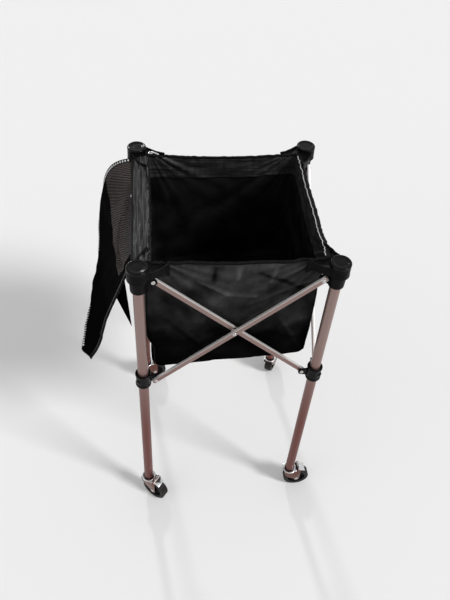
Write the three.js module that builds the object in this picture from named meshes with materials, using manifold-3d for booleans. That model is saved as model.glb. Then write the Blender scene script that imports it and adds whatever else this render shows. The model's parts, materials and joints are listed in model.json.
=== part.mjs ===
// Folding ball hopper on casters. Four legs stand at the corners of a square; each side of the
// square is a scissor pair of links, pinned to fixed brackets at the leg tops and to sliders that
// run on the legs. A fabric bag hangs between the leg tops, with an unzipped mesh lid over its left
// side. Millimetres, +Z up, the floor at z = 0, the front towards -Y.
import * as THREE from 'three';
import { mergeVertices } from 'three/addons/utils/BufferGeometryUtils.js';
import Module from 'manifold-3d';

const wasm = await Module();
wasm.setup();

// Overall sizes of the open frame
const legSpacing = 420;
const overallHeight = 936;
const pivotInset = 31;
const topPivotDrop = 46;
const pivotRise = 328;

// Clearances and the overrun of every cut
const seatGap = 0.3;
const sideGap = 0.4;
const slideGap = 0.35;
const boreGap = 0.3;
const cutOverrun = 2;

// Leg tube
const tubeRadius = 12.5;
const tubeWall = 1.5;

// Cap on the leg top
const capRadius = 23;
const capThickness = 8;
const capEdge = 1.2;
const capRimInset = 3.5;
const capFlat = 2.5;
const capDish = 1.6;
const capDiscRadius = 11;
const plugDepth = 18;
const plugGap = 0.3;
const plugChamfer = 1;

// Ears and pivots shared by brackets and sliders
const earThickness = 4.5;
const earRadius = 9;
const pinRadius = 3;
const pinHeadRadius = 5;
const pinHeadHeight = 1.6;
const pinHeadCrown = 1.2;

// Top bracket
const bracketHeight = 59;
const bracketRadius = 21;
const bracketFootRadius = 17.5;
const bracketLip = 1;
const bracketRootRise = 11;
const bracketRootDrop = 16;

// Slider and its lock button
const sliderHeight = 42;
const sliderRadius = 19;
const sliderWaist = 1.4;
const sliderFlange = 6;
const sliderRoot = 13;
const buttonRadius = 4.5;
const buttonProud = 2.6;
const buttonDepth = 2.6;
const buttonDome = 0.8;

// Links
const linkHeight = 12;
const linkThickness = 8.5;
const linkWall = 1.3;
const linkCorner = 1.5;
const linkEnd = 9.5;
const linkBevel = 3;
const washerRadius = 7.5;

// Caster
const wheelRadius = 37.5;
const wheelWidth = 24;
const wheelTrail = 24;
const hubRadius = 10;
const hubProud = 1;
const webThickness = 12;
const rimRadius = 26;
const treadShoulder = 2.6;
const treadGroove = 1.3;
const axleRadius = 4;
const axleHeadRadius = 5.5;
const axleHeadHeight = 1.5;
const cheekThickness = 2.2;
const cheekFootRadius = 9;
const cheekFront = 17;
const hoodBack = 21;
const hoodThickness = 2.2;
const hoodGap = 1.6;
const raceRadius = 20;
const raceHeight = 4.3;
const raceChamfer = 1.4;
const kingpinRadius = 4.6;
const kingpinHeadRadius = 8;
const kingpinHeadHeight = 2.6;
const socketFlangeRadius = 14;
const socketFlangeHeight = 2.5;
const socketDepth = 26;

// Brake pedal
const pedalShoeGap = 5;
const pedalPlate = 2.2;
const pedalBarrel = 3.2;
const pedalPin = 2;
const pedalPivotBack = 6;
const pedalPivotRise = 5.5;
const pedalSweep = Math.PI / 4.6;
const pedalToeRise = 17;
const pedalToeWidth = 15;
const pedalLug = 5;

// Direction that each caster trails, measured from +X
const casterHeadings = {
  fl: THREE.MathUtils.degToRad(-39),
  fr: THREE.MathUtils.degToRad(2),
  br: THREE.MathUtils.degToRad(60),
  bl: THREE.MathUtils.degToRad(10),
};

// Bag
const fabric = 2;
const sleeveThickness = 1.7;
const sleeveHeight = 24.5;
const sleeveTip = 29;
const bagDepth = 340;
const bagTaper = 4;
const bagTaperPower = 0.8;
const rimDrop = 4;
const rimDip = 11;
const rimSag = 7;
const panelRipple = 2.2;
const floorSag = 6;
const rimBandWidth = 40;
const rimBandFall = 7;
const rimBandRipple = 0.9;

// Lid that hangs over the left side
const lidSideGap = 3;
const lidThickness = 2;
const lidBackDrop = 153;
const lidFrontDrop = 305;
const lidBackFlare = 71;
const lidFrontFlare = 117;
const lidFold = 7;
const lidTipReach = 84;
const lidTipFlare = 16;
const lidTipDrop = 300;
const lidTuckDrop = 165;
const lidTuckFlare = 36;
const lidTuckPlace = 20;
const lidHem = 4;
const tuckShare = 0.5;

// Facet counts
const roundSides = 16;
const kingpinSides = 12;
const pinSides = 8;
const wheelSides = 18;
const cheekSteps = 3;
const wallSteps = [8, 6];
const floorSteps = [6, 6];
const bandSteps = [8, 5];
const lidSteps = [12, 9];
const hangSteps = 6;
const hangShare = hangSteps / lidSteps[1];

// Places worked out from the sizes
const half = legSpacing / 2;
const upperPivotZ = overallHeight - topPivotDrop;
const lowerPivotZ = upperPivotZ - pivotRise;
const pivotSpan = legSpacing - 2 * pivotInset;
const linkLength = Math.hypot(pivotSpan, pivotRise);
const linkSlope = Math.atan2(pivotRise, pivotSpan);
const capSeatZ = overallHeight - capThickness;
const tubeTopZ = capSeatZ - seatGap;
const linkOffset = earThickness / 2 + sideGap + linkThickness / 2;
const tubeBore = tubeRadius - tubeWall;
const hoodBase = 2 * wheelRadius + hoodGap;
const raceTop = hoodBase + raceHeight;
const casterHeight = raceTop + socketFlangeHeight + 2 * seatGap;
const sleeveRadius = bracketRadius + seatGap + sleeveThickness;
const lidHalfWidth = half - sleeveRadius - lidSideGap;

// Solids and geometry

function welded(geometry) {
  const plain = geometry.clone();
  plain.deleteAttribute('normal');
  plain.deleteAttribute('uv');
  return mergeVertices(plain);
}

function solid(geometry) {
  const shape = welded(geometry);
  const corners = shape.index.array;
  const faces = [];
  for (let i = 0; i < corners.length; i += 3) {
    const [a, b, c] = [corners[i], corners[i + 1], corners[i + 2]];
    if (a !== b && b !== c && c !== a) faces.push(a, b, c);
  }
  const mesh = new wasm.Mesh({
    numProp: 3,
    vertProperties: new Float32Array(shape.attributes.position.array),
    triVerts: new Uint32Array(faces),
  });
  return new wasm.Manifold(mesh);
}

function geometryOf(body) {
  const mesh = body.getMesh();
  const geometry = new THREE.BufferGeometry();
  geometry.setAttribute('position', new THREE.BufferAttribute(new Float32Array(mesh.vertProperties), 3));
  geometry.setIndex(new THREE.BufferAttribute(new Uint32Array(mesh.triVerts), 1));
  const flat = geometry.toNonIndexed();
  flat.computeVertexNormals();
  return flat;
}

const joined = (bodies) => bodies.reduce((all, body) => all.add(body));

const points = (pairs) => pairs.map(([x, y]) => new THREE.Vector2(x, y));

// Turned about Y, from (radius, height) pairs in rising order
const turned = (pairs, sides) => new THREE.LatheGeometry(points(pairs), sides);

// Turned about Z
const post = (pairs, sides = roundSides) => turned(pairs, sides).rotateX(Math.PI / 2);

function rod(radius, from, to, sides = pinSides) {
  return turned([[0, from], [radius, from], [radius, to], [0, to]], sides);
}

function block(low, high) {
  const size = high.map((value, i) => value - low[i]);
  const centre = high.map((value, i) => (value + low[i]) / 2);
  return new THREE.BoxGeometry(...size).translate(...centre);
}

// A side outline in X and Z, extruded along Y about y = middle
function plate(shape, thickness, middle = 0, curveSegments = 6) {
  return new THREE.ExtrudeGeometry(shape, { depth: thickness, bevelEnabled: false, curveSegments })
    .rotateX(Math.PI / 2)
    .translate(0, middle + thickness / 2, 0);
}

// A thick sheet between two grids of points, given by a function of two shares and a depth share
function sheet(pointAt, [columns, rows]) {
  const place = [];
  for (const depth of [0, 1]) {
    for (let row = 0; row <= rows; row += 1) {
      for (let column = 0; column <= columns; column += 1) {
        place.push(...pointAt(column / columns, row / rows, depth));
      }
    }
  }
  const layer = (columns + 1) * (rows + 1);
  const at = (column, row, depth) => depth * layer + row * (columns + 1) + column;
  const faces = [];
  const quad = (a, b, c, d) => faces.push(a, b, c, a, c, d);
  for (let row = 0; row < rows; row += 1) {
    for (let column = 0; column < columns; column += 1) {
      const [right, down] = [column + 1, row + 1];
      quad(at(column, row, 0), at(column, down, 0), at(right, down, 0), at(right, row, 0));
      quad(at(column, row, 1), at(right, row, 1), at(right, down, 1), at(column, down, 1));
    }
  }
  for (let column = 0; column < columns; column += 1) {
    const right = column + 1;
    quad(at(column, 0, 0), at(right, 0, 0), at(right, 0, 1), at(column, 0, 1));
    quad(at(right, rows, 0), at(column, rows, 0), at(column, rows, 1), at(right, rows, 1));
  }
  for (let row = 0; row < rows; row += 1) {
    const down = row + 1;
    quad(at(0, down, 0), at(0, row, 0), at(0, row, 1), at(0, down, 1));
    quad(at(columns, row, 0), at(columns, down, 0), at(columns, down, 1), at(columns, row, 1));
  }
  const geometry = new THREE.BufferGeometry();
  geometry.setAttribute('position', new THREE.Float32BufferAttribute(place, 3));
  geometry.setIndex(faces);
  return geometry;
}

// Ears and pins. In an ear's own frame it points along +X, with its mid-plane at y = 0.

function ear(pivotZ, rootRise, rootDrop) {
  const shape = new THREE.Shape();
  shape.moveTo(0, pivotZ - rootDrop);
  shape.lineTo(tubeRadius, pivotZ - rootDrop);
  shape.absarc(pivotInset, pivotZ, earRadius, -Math.PI / 2, Math.PI / 2, false);
  shape.lineTo(tubeRadius, pivotZ + rootRise);
  shape.lineTo(0, pivotZ + rootRise);
  shape.closePath();
  return plate(shape, earThickness);
}

// A headed rivet from the plain face of an ear, through it and through the link beside it
function pivotPin(pivotZ, linkSide) {
  const nearFace = -earThickness / 2;
  const farHead = earThickness / 2 + linkThickness + sideGap + seatGap;
  const profile = [
    [0, nearFace - pinHeadHeight],
    [pinHeadRadius - pinHeadCrown, nearFace - pinHeadHeight],
    [pinHeadRadius, nearFace + seatGap],
    [pinRadius, nearFace + seatGap],
    [pinRadius, farHead],
    [pinHeadRadius, farHead],
    [pinHeadRadius - pinHeadCrown, farHead + pinHeadHeight],
    [0, farHead + pinHeadHeight],
  ];
  const pin = turned(profile, pinSides);
  if (linkSide < 0) pin.rotateX(Math.PI);
  return pin.translate(pivotInset, 0, pivotZ);
}

const quarterTurn = Math.PI / 2;

function earsAndPins(pivotZ, rootRise, rootDrop, linkSide) {
  const forms = [ear(pivotZ, rootRise, rootDrop), pivotPin(pivotZ, linkSide)];
  const turnedForms = forms.map((form) => form.clone().rotateZ(quarterTurn));
  return [...forms, ...turnedForms].map(solid);
}

const tubeCut = (gap, from, to) =>
  solid(post([[0, from], [tubeRadius + gap, from], [tubeRadius + gap, to], [0, to]]));

// Leg tube, cap, bracket, slider and button, each about the leg's axis

function legTube() {
  return post([
    [tubeBore, casterHeight],
    [tubeRadius, casterHeight],
    [tubeRadius, tubeTopZ],
    [tubeBore, tubeTopZ],
    [tubeBore, casterHeight],
  ]);
}

function topCap() {
  const plug = tubeBore - plugGap;
  const crown = capRadius - capRimInset;
  return post([
    [0, capSeatZ - plugDepth],
    [plug - plugChamfer, capSeatZ - plugDepth],
    [plug, capSeatZ],
    [capRadius - capEdge, capSeatZ],
    [capRadius, capSeatZ + capEdge],
    [capRadius, overallHeight - 2 * capEdge],
    [capRadius - capEdge, overallHeight - capEdge / 2],
    [crown, overallHeight],
    [crown - capFlat, overallHeight],
    [capDiscRadius, overallHeight - capDish],
    [0, overallHeight - capDish],
  ]);
}

function topBracket() {
  const top = capSeatZ - seatGap;
  const foot = capSeatZ - bracketHeight;
  const shoulder = upperPivotZ + bracketRootRise;
  const body = post([
    [0, foot],
    [bracketFootRadius - bracketLip, foot],
    [bracketFootRadius, foot + bracketLip],
    [(bracketFootRadius + bracketRadius) / 2, shoulder],
    [bracketRadius, shoulder + bracketLip],
    [bracketRadius, top - bracketLip],
    [bracketRadius - bracketLip, top],
    [0, top],
  ]);
  const forms = earsAndPins(upperPivotZ, bracketRootRise, bracketRootDrop, 1);
  return joined([solid(body), ...forms]).subtract(tubeCut(seatGap, foot - cutOverrun, top + cutOverrun));
}

function slider() {
  const foot = lowerPivotZ - sliderHeight / 2;
  const top = foot + sliderHeight;
  const neck = sliderRadius - sliderWaist;
  const body = post([
    [0, foot],
    [neck, foot],
    [sliderRadius, foot + sliderWaist],
    [sliderRadius, foot + sliderFlange],
    [neck, foot + sliderFlange + sliderWaist],
    [neck, top - sliderFlange - sliderWaist],
    [sliderRadius, top - sliderFlange],
    [sliderRadius, top - sliderWaist],
    [neck, top],
    [0, top],
  ]);
  const forms = earsAndPins(lowerPivotZ, sliderRoot, sliderRoot, -1);
  const buttonBore = placedButton(rod(buttonRadius + boreGap, 0, sliderRadius + cutOverrun));
  return joined([solid(body), ...forms])
    .subtract(tubeCut(slideGap, foot - cutOverrun, top + cutOverrun))
    .subtract(solid(buttonBore));
}

// The button lies along Y in its own frame and faces away from both ears
const placedButton = (form) => form.rotateZ(quarterTurn + Math.PI / 4).translate(0, 0, lowerPivotZ);

function lockButton() {
  const face = sliderRadius - sliderWaist + buttonProud;
  const profile = [
    [0, face - buttonProud - buttonDepth],
    [buttonRadius, face - buttonProud - buttonDepth],
    [buttonRadius, face - buttonDome],
    [buttonRadius - buttonDome, face],
    [0, face],
  ];
  return placedButton(turned(profile, pinSides));
}

// Links and their centre rivet, in a side's frame: X along the side, y = 0 in the legs' plane

function link() {
  const [y, z] = [linkThickness / 2, linkHeight / 2];
  const length = linkLength + 2 * linkEnd;
  const section = new THREE.Shape();
  section.moveTo(-y + linkCorner, -z);
  section.absarc(y - linkCorner, -z + linkCorner, linkCorner, -Math.PI / 2, 0, false);
  section.absarc(y - linkCorner, z - linkCorner, linkCorner, 0, Math.PI / 2, false);
  section.absarc(-y + linkCorner, z - linkCorner, linkCorner, Math.PI / 2, Math.PI, false);
  section.absarc(-y + linkCorner, -z + linkCorner, linkCorner, Math.PI, 1.5 * Math.PI, false);
  const bar = new THREE.ExtrudeGeometry(section, { depth: length, bevelEnabled: false, curveSegments: 1 })
    .translate(0, 0, -length / 2)
    .rotateX(Math.PI / 2)
    .rotateZ(Math.PI / 2);
  const cavityRun = length / 2 + cutOverrun;
  const cavity = solid(block(
    [-cavityRun, linkWall - y, linkWall - z],
    [cavityRun, y - linkWall, z - linkWall],
  ));
  const boreRun = linkThickness / 2 + cutOverrun;
  const bores = [-linkLength / 2, 0, linkLength / 2].map((x) =>
    solid(rod(pinRadius + boreGap, -boreRun, boreRun).translate(x, 0, 0)));
  return solid(bar).subtract(cavity).subtract(joined(bores)).subtract(endBevels(length));
}

// Wedges that cut the four corners of a link's ends
function endBevels(length) {
  const [x, z] = [length / 2, linkHeight / 2];
  const wedges = [];
  for (const end of [-1, 1]) {
    for (const rise of [-1, 1]) {
      const shape = new THREE.Shape();
      const reach = linkBevel + cutOverrun;
      shape.moveTo(end * (x + cutOverrun), rise * (z - linkBevel - cutOverrun));
      shape.lineTo(end * (x + cutOverrun), rise * (z + cutOverrun));
      shape.lineTo(end * (x - reach), rise * (z + cutOverrun));
      shape.closePath();
      wedges.push(solid(plate(shape, linkThickness + 2 * cutOverrun)));
    }
  }
  return joined(wedges);
}

function centreRivet() {
  const face = earThickness / 2 + sideGap;
  const head = face + linkThickness + seatGap;
  const washer = face - seatGap;
  return turned([
    [0, -head - pinHeadHeight],
    [pinHeadRadius - pinHeadCrown, -head - pinHeadHeight],
    [pinHeadRadius, -head],
    [pinRadius, -head],
    [pinRadius, -washer],
    [washerRadius, -washer],
    [washerRadius, washer],
    [pinRadius, washer],
    [pinRadius, head],
    [pinHeadRadius, head],
    [pinHeadRadius - pinHeadCrown, head + pinHeadHeight],
    [0, head + pinHeadHeight],
  ], pinSides);
}

// Caster pieces: the swivel axis at x = y = 0, trailing along +X

const cheekInside = wheelWidth / 2 + hoodGap;
const cheekOutside = cheekInside + cheekThickness;
const pedalPivot = { x: hoodBack + pedalPivotBack, z: hoodBase + pedalPivotRise };

function casterSocket() {
  const flangeTop = casterHeight - seatGap;
  const flangeBase = raceTop + seatGap;
  const plug = tubeBore - plugGap;
  const headTop = hoodBase - seatGap;
  return post([
    [0, headTop - kingpinHeadHeight],
    [kingpinHeadRadius - plugChamfer, headTop - kingpinHeadHeight],
    [kingpinHeadRadius, headTop],
    [kingpinRadius, headTop],
    [kingpinRadius, flangeBase],
    [socketFlangeRadius, flangeBase],
    [socketFlangeRadius, flangeTop],
    [plug, flangeTop],
    [plug, casterHeight + socketDepth - plugChamfer],
    [plug - plugChamfer, casterHeight + socketDepth],
    [0, casterHeight + socketDepth],
  ], kingpinSides);
}

function cheekOutline() {
  const footZ = wheelRadius;
  const shape = new THREE.Shape();
  shape.moveTo(-cheekFront, hoodBase + hoodThickness);
  shape.quadraticCurveTo(-cheekFront, footZ + cheekFront, wheelTrail - cheekFootRadius, footZ);
  shape.absarc(wheelTrail, footZ, cheekFootRadius, Math.PI, 2 * Math.PI, false);
  shape.lineTo(pedalPivot.x + pedalLug, hoodBase - hoodThickness);
  shape.absarc(pedalPivot.x, pedalPivot.z, pedalLug, 0, Math.PI, false);
  shape.lineTo(pedalPivot.x - pedalLug, hoodBase + hoodThickness);
  shape.closePath();
  return shape;
}

function casterFork() {
  const middle = cheekInside + cheekThickness / 2;
  const cheeks = [-middle, middle].map((y) => solid(plate(cheekOutline(), cheekThickness, y, cheekSteps)));
  const hood = solid(block(
    [-cheekFront, -cheekOutside, hoodBase],
    [hoodBack, cheekOutside, hoodBase + hoodThickness],
  ));
  const race = solid(post([
    [0, hoodBase],
    [raceRadius, hoodBase],
    [raceRadius, raceTop - raceChamfer],
    [raceRadius - raceChamfer, raceTop],
    [0, raceTop],
  ]));
  const end = cheekOutside + axleHeadHeight;
  const axle = solid(turned([
    [0, -end],
    [axleHeadRadius, -end],
    [axleHeadRadius, -cheekOutside + seatGap],
    [axleRadius, -cheekOutside + seatGap],
    [axleRadius, cheekOutside - seatGap],
    [axleHeadRadius, cheekOutside - seatGap],
    [axleHeadRadius, end],
    [0, end],
  ], pinSides).translate(wheelTrail, 0, wheelRadius));
  const kingBore = kingpinRadius + boreGap;
  const bore = solid(post([
    [0, hoodBase - cutOverrun],
    [kingBore, hoodBase - cutOverrun],
    [kingBore, raceTop + cutOverrun],
    [0, raceTop + cutOverrun],
  ], kingpinSides));
  const pedalBores = solid(rod(pedalPin + boreGap, -cheekOutside - cutOverrun, cheekOutside + cutOverrun)
    .translate(pedalPivot.x, 0, pedalPivot.z));
  return joined([hood, race, ...cheeks]).subtract(bore).subtract(pedalBores).add(axle);
}

// The wheel's flats lie at its true radii, and it stands on one of them
function casterWheel() {
  const [web, edge, hub] = [webThickness / 2, wheelWidth / 2, wheelWidth / 2 + hubProud];
  const rib = edge / 4;
  const rim = [
    [wheelRadius - treadShoulder, edge],
    [wheelRadius, edge - treadShoulder],
    [wheelRadius, 2 * rib - treadGroove],
    [wheelRadius - treadGroove, 2 * rib - 2 * treadGroove],
    [wheelRadius, 2 * rib - 3 * treadGroove],
  ];
  const face = [
    [axleRadius + boreGap, hub],
    [hubRadius, hub],
    [hubRadius + hubProud, web],
    [rimRadius, web],
    [rimRadius + treadShoulder, edge],
    ...rim,
  ];
  const step = Math.PI / wheelSides;
  const lower = face.map(([r, y]) => [r / Math.cos(step), -y]);
  const upper = lower.map(([r, y]) => [r, -y]).reverse();
  return turned([...lower, ...upper, lower[0]], wheelSides)
    .rotateY(step)
    .translate(wheelTrail, 0, wheelRadius);
}

function brakePedal() {
  const inner = wheelRadius + pedalShoeGap;
  const start = Math.atan2(pedalPivot.z - wheelRadius, pedalPivot.x - wheelTrail);
  const width = 2 * (cheekInside - sideGap);
  const shoe = new THREE.Shape();
  curvedStrip(shoe, wheelTrail, wheelRadius, inner, pedalPlate, start, start - pedalSweep);
  const toe = new THREE.Shape();
  const [x, z] = [pedalPivot.x, pedalPivot.z];
  toe.moveTo(x - pedalPlate / 2, z);
  toe.lineTo(x + pedalPlate / 2, z);
  toe.lineTo(x + pedalPlate, z + pedalToeRise);
  toe.lineTo(x, z + pedalToeRise);
  toe.closePath();
  return joined([
    solid(plate(shoe, width)),
    solid(plate(toe, pedalToeWidth)),
    solid(rod(pedalBarrel, -width / 2, width / 2).translate(x, 0, z)),
    solid(rod(pedalPin, -cheekOutside, cheekOutside).translate(x, 0, z)),
  ]);
}

// A curved strip of even thickness about a centre, from one angle down to another
function curvedStrip(shape, x, z, radius, thickness, from, to) {
  shape.absarc(x, z, radius, from, to, true);
  shape.absarc(x, z, radius + thickness, to, from, false);
  shape.closePath();
}

// Bag. Each wall is drawn in the front side's frame and turned to its side.

const bagCorner = half - (sleeveTip + seatGap) / Math.SQRT2;
const rimTopZ = capSeatZ - rimDrop;
const bagFloorZ = rimTopZ - bagDepth;
const rimHeight = (along) => rimTopZ - rimDip * (1 - along * along);

// Half the bag's width at a share of its depth
const bagHalf = (down) => bagCorner - bagTaper * Math.pow(down, bagTaperPower);

function wallPoint(across, down, depth) {
  const along = 2 * across - 1;
  const reach = bagHalf(down) - fabric * depth;
  const inward = (1 - along * along) * (rimSag * (1 - down) * (1 - down)
    + panelRipple * Math.sin(3 * Math.PI * across) * Math.sin(Math.PI * down));
  const z = rimHeight(along) + (bagFloorZ - rimHeight(along)) * down;
  return [along * (reach - seatGap), inward - reach, z];
}

const bagWall = () => sheet(wallPoint, wallSteps);

function bagFloor() {
  const reach = bagHalf(1) - fabric - seatGap;
  return sheet((across, down, depth) => {
    const [x, y] = [2 * across - 1, 2 * down - 1];
    const sag = floorSag * (1 - x * x) * (1 - y * y);
    return [x * reach, -y * reach, bagFloorZ + floorSag - sag - fabric * depth];
  }, floorSteps);
}

// The wide gathered band that leads from the left rim out over the links to the lid
const bandInnerX = -(bagCorner - rimSag);
const bandOuterX = bandInnerX - rimBandWidth;
const bandHeight = (along, out) => rimHeight(along) + fabric + seatGap - rimBandFall * out * out
  + rimBandRipple * Math.sin(3 * Math.PI * out);

function rimBand() {
  return sheet((across, out, depth) => {
    const along = 1 - 2 * across;
    return [bandInnerX - rimBandWidth * out, along * lidHalfWidth, bandHeight(along, out) - fabric * depth];
  }, bandSteps);
}

// Fabric loop round a bracket's neck, drawn to the bag's corner
function cornerSleeve() {
  const shape = new THREE.Shape();
  const touch = Math.acos(sleeveRadius / sleeveTip);
  shape.absarc(0, 0, sleeveRadius, touch, 2 * Math.PI - touch, false);
  shape.lineTo(sleeveTip, 0);
  shape.closePath();
  const bore = new THREE.Path();
  bore.absarc(0, 0, bracketRadius + seatGap, 0, 2 * Math.PI, true);
  shape.holes.push(bore);
  const loop = { depth: sleeveHeight, bevelEnabled: false, curveSegments: roundSides / 2 };
  return new THREE.ExtrudeGeometry(shape, loop)
    .rotateZ(Math.PI / 4)
    .translate(0, 0, capSeatZ - seatGap - sleeveHeight);
}

// Lid: a draped sheet that flares out as it falls and hangs longer at the front. Past its lower edge
// the cloth turns under, and towards the back it is tucked forward as a wide flap.

const lidHinge = { x: bandOuterX - seatGap, z: bandHeight(0, 1) - fabric / 2 };

function lidHang(across, down) {
  const along = 1 - 2 * across;
  const flare = lidBackFlare + (lidFrontFlare - lidBackFlare) * across;
  const drop = lidBackDrop + (lidFrontDrop - lidBackDrop) * across;
  const fold = lidFold * down * Math.sin(3 * Math.PI * across);
  return new THREE.Vector3(
    lidHinge.x - flare * (1 - (1 - down) * (1 - down)) - fold,
    along * lidHalfWidth,
    bandHeight(along, 1) - fabric / 2 - drop * down,
  );
}

function tuckEdge(across) {
  const start = new THREE.Vector3(lidHinge.x - lidTuckFlare, lidTuckPlace, lidHinge.z - lidTuckDrop);
  const tip = new THREE.Vector3(lidHinge.x - lidTipFlare, -lidTipReach, lidHinge.z - lidTipDrop);
  if (across <= tuckShare) return start.lerp(tip, across / tuckShare);
  return lidHang(across, 1).add(new THREE.Vector3(lidHem, 0, 0));
}

function lidPoint(across, down, depth) {
  const past = (down - hangShare) / (1 - hangShare);
  const point = lidHang(across, Math.min(down / hangShare, 1));
  if (past > 0) point.lerp(tuckEdge(across), past);
  const bend = quarterTurn * THREE.MathUtils.clamp(past * (lidSteps[1] - hangSteps) + 0.5, 0, 1);
  const out = lidThickness * (1 - depth);
  return [point.x - out * Math.cos(bend), point.y, point.z - out * Math.sin(bend)];
}

const lidPanel = () => sheet(lidPoint, lidSteps);

// Materials

const finish = (color, roughness, metalness) => ({ color, roughness, metalness });
const finishes = {
  aluminium: finish(0x8f7a74, 0.42, 0.85),
  moulded: finish(0x151516, 0.45, 0),
  gloss: finish(0x0b0b0c, 0.15, 0),
  zinc: finish(0xc9cdd0, 0.2, 1),
  rivet: finish(0xb9b4b0, 0.3, 1),
  rubber: finish(0x141414, 0.6, 0),
  nylon: finish(0x1b1b1d, 0.8, 0),
  mesh: finish(0x2b2625, 0.85, 0),
};

// Assembly

const hopper = new THREE.Group();
hopper.name = 'ball_hopper';

function part(name, form, finishName) {
  const geometry = form instanceof THREE.BufferGeometry ? form : geometryOf(form);
  const mesh = new THREE.Mesh(geometry, new THREE.MeshStandardMaterial(finishes[finishName]));
  mesh.name = name;
  return mesh;
}

const corners = [
  ['fl', -half, -half],
  ['fr', half, -half],
  ['br', half, half],
  ['bl', -half, half],
];

corners.forEach(([corner, x, y], turns) => {
  const leg = new THREE.Group();
  leg.position.set(x, y, 0);
  leg.rotation.z = turns * quarterTurn;
  leg.add(
    part(`leg_tube_${corner}`, legTube(), 'aluminium'),
    part(`top_cap_${corner}`, topCap(), 'gloss'),
    part(`top_bracket_${corner}`, topBracket(), 'moulded'),
    part(`slider_${corner}`, slider(), 'moulded'),
    part(`lock_button_${corner}`, lockButton(), 'gloss'),
    part(`corner_sleeve_${corner}`, cornerSleeve(), 'nylon'),
  );
  const caster = new THREE.Group();
  caster.position.set(x, y, 0);
  caster.rotation.z = casterHeadings[corner];
  caster.add(
    part(`caster_socket_${corner}`, casterSocket(), 'moulded'),
    part(`caster_fork_${corner}`, casterFork(), 'zinc'),
    part(`caster_wheel_${corner}`, casterWheel(), 'rubber'),
    part(`brake_pedal_${corner}`, brakePedal(), 'zinc'),
  );
  hopper.add(leg, caster);
});

['front', 'right', 'back', 'left'].forEach((side, turns) => {
  const frame = new THREE.Group();
  frame.rotation.z = turns * quarterTurn;
  const middleZ = (upperPivotZ + lowerPivotZ) / 2;
  const inner = part(`inner_link_${side}`, link(), 'aluminium');
  inner.position.set(0, linkOffset - half, middleZ);
  inner.rotation.y = linkSlope;
  const outer = part(`outer_link_${side}`, link(), 'aluminium');
  outer.position.set(0, -linkOffset - half, middleZ);
  outer.rotation.y = -linkSlope;
  const rivet = part(`centre_rivet_${side}`, centreRivet(), 'rivet');
  rivet.position.set(0, -half, middleZ);
  frame.add(inner, outer, rivet, part(`bag_wall_${side}`, bagWall(), 'nylon'));
  hopper.add(frame);
});

hopper.add(
  part('bag_floor', bagFloor(), 'nylon'),
  part('rim_band', rimBand(), 'nylon'),
  part('lid_panel', lidPanel(), 'mesh'),
);

// The origin lies on the floor, under the middle of the box that holds the whole object
const box = new THREE.Box3().setFromObject(hopper, true);
const middle = box.getCenter(new THREE.Vector3());
hopper.position.set(-middle.x, -middle.y, -box.min.z);

export default hopper;
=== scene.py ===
"""Looks of a folding ball hopper on casters: legs, scissor links, casters, nylon bag and mesh lid.

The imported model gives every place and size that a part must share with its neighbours. Lengths are in
metres, +Z up, the front towards -Y, and the lid hangs over the left side.
"""
import json
import math

import bmesh
import bpy
from bpy.props import FloatProperty, FloatVectorProperty, IntProperty, PointerProperty
from mathutils import Matrix, Vector, noise

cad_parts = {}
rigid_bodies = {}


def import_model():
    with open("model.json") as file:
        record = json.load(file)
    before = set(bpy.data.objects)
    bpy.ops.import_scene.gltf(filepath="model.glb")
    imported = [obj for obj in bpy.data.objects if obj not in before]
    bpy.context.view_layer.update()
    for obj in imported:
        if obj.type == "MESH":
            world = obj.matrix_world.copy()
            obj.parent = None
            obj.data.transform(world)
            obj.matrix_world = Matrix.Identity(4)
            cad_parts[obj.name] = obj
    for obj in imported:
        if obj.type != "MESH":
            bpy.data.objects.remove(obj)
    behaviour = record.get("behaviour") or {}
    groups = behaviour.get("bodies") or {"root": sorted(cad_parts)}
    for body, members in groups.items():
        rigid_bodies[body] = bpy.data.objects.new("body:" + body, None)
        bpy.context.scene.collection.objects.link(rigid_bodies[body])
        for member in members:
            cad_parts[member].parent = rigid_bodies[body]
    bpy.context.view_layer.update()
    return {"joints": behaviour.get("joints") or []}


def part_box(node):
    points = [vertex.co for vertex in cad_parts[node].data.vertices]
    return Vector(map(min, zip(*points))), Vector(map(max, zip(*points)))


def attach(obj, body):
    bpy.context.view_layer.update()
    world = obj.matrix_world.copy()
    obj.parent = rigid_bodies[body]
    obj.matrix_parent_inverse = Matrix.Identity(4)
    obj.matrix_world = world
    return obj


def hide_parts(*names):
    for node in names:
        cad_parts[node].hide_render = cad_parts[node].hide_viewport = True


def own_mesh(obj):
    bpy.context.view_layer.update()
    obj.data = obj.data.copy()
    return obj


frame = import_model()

bl_info = {
    "name": "Ball hopper",
    "version": (1, 0, 0),
    "blender": (4, 5, 0),
    "location": "3D View > Sidebar > Hopper",
    "description": "Builds a folding ball hopper on casters, with its bag and lid",
    "category": "Add Mesh",
}

JOINTS = {joint["name"]: joint for joint in frame["joints"]}
CORNERS = ("fl", "fr", "br", "bl")
SIDES = ("front", "right", "back", "left")
QUARTER = math.pi / 2
FULL = 2 * math.pi
MM = 0.001


# Places that the frame gives

def middle(node):
    """Centre of a node's box."""
    low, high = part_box(node)
    return (low + high) / 2


def pivot(joint):
    """Place of a joint at rest."""
    return Vector(JOINTS[joint]["pos_m"])


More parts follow.
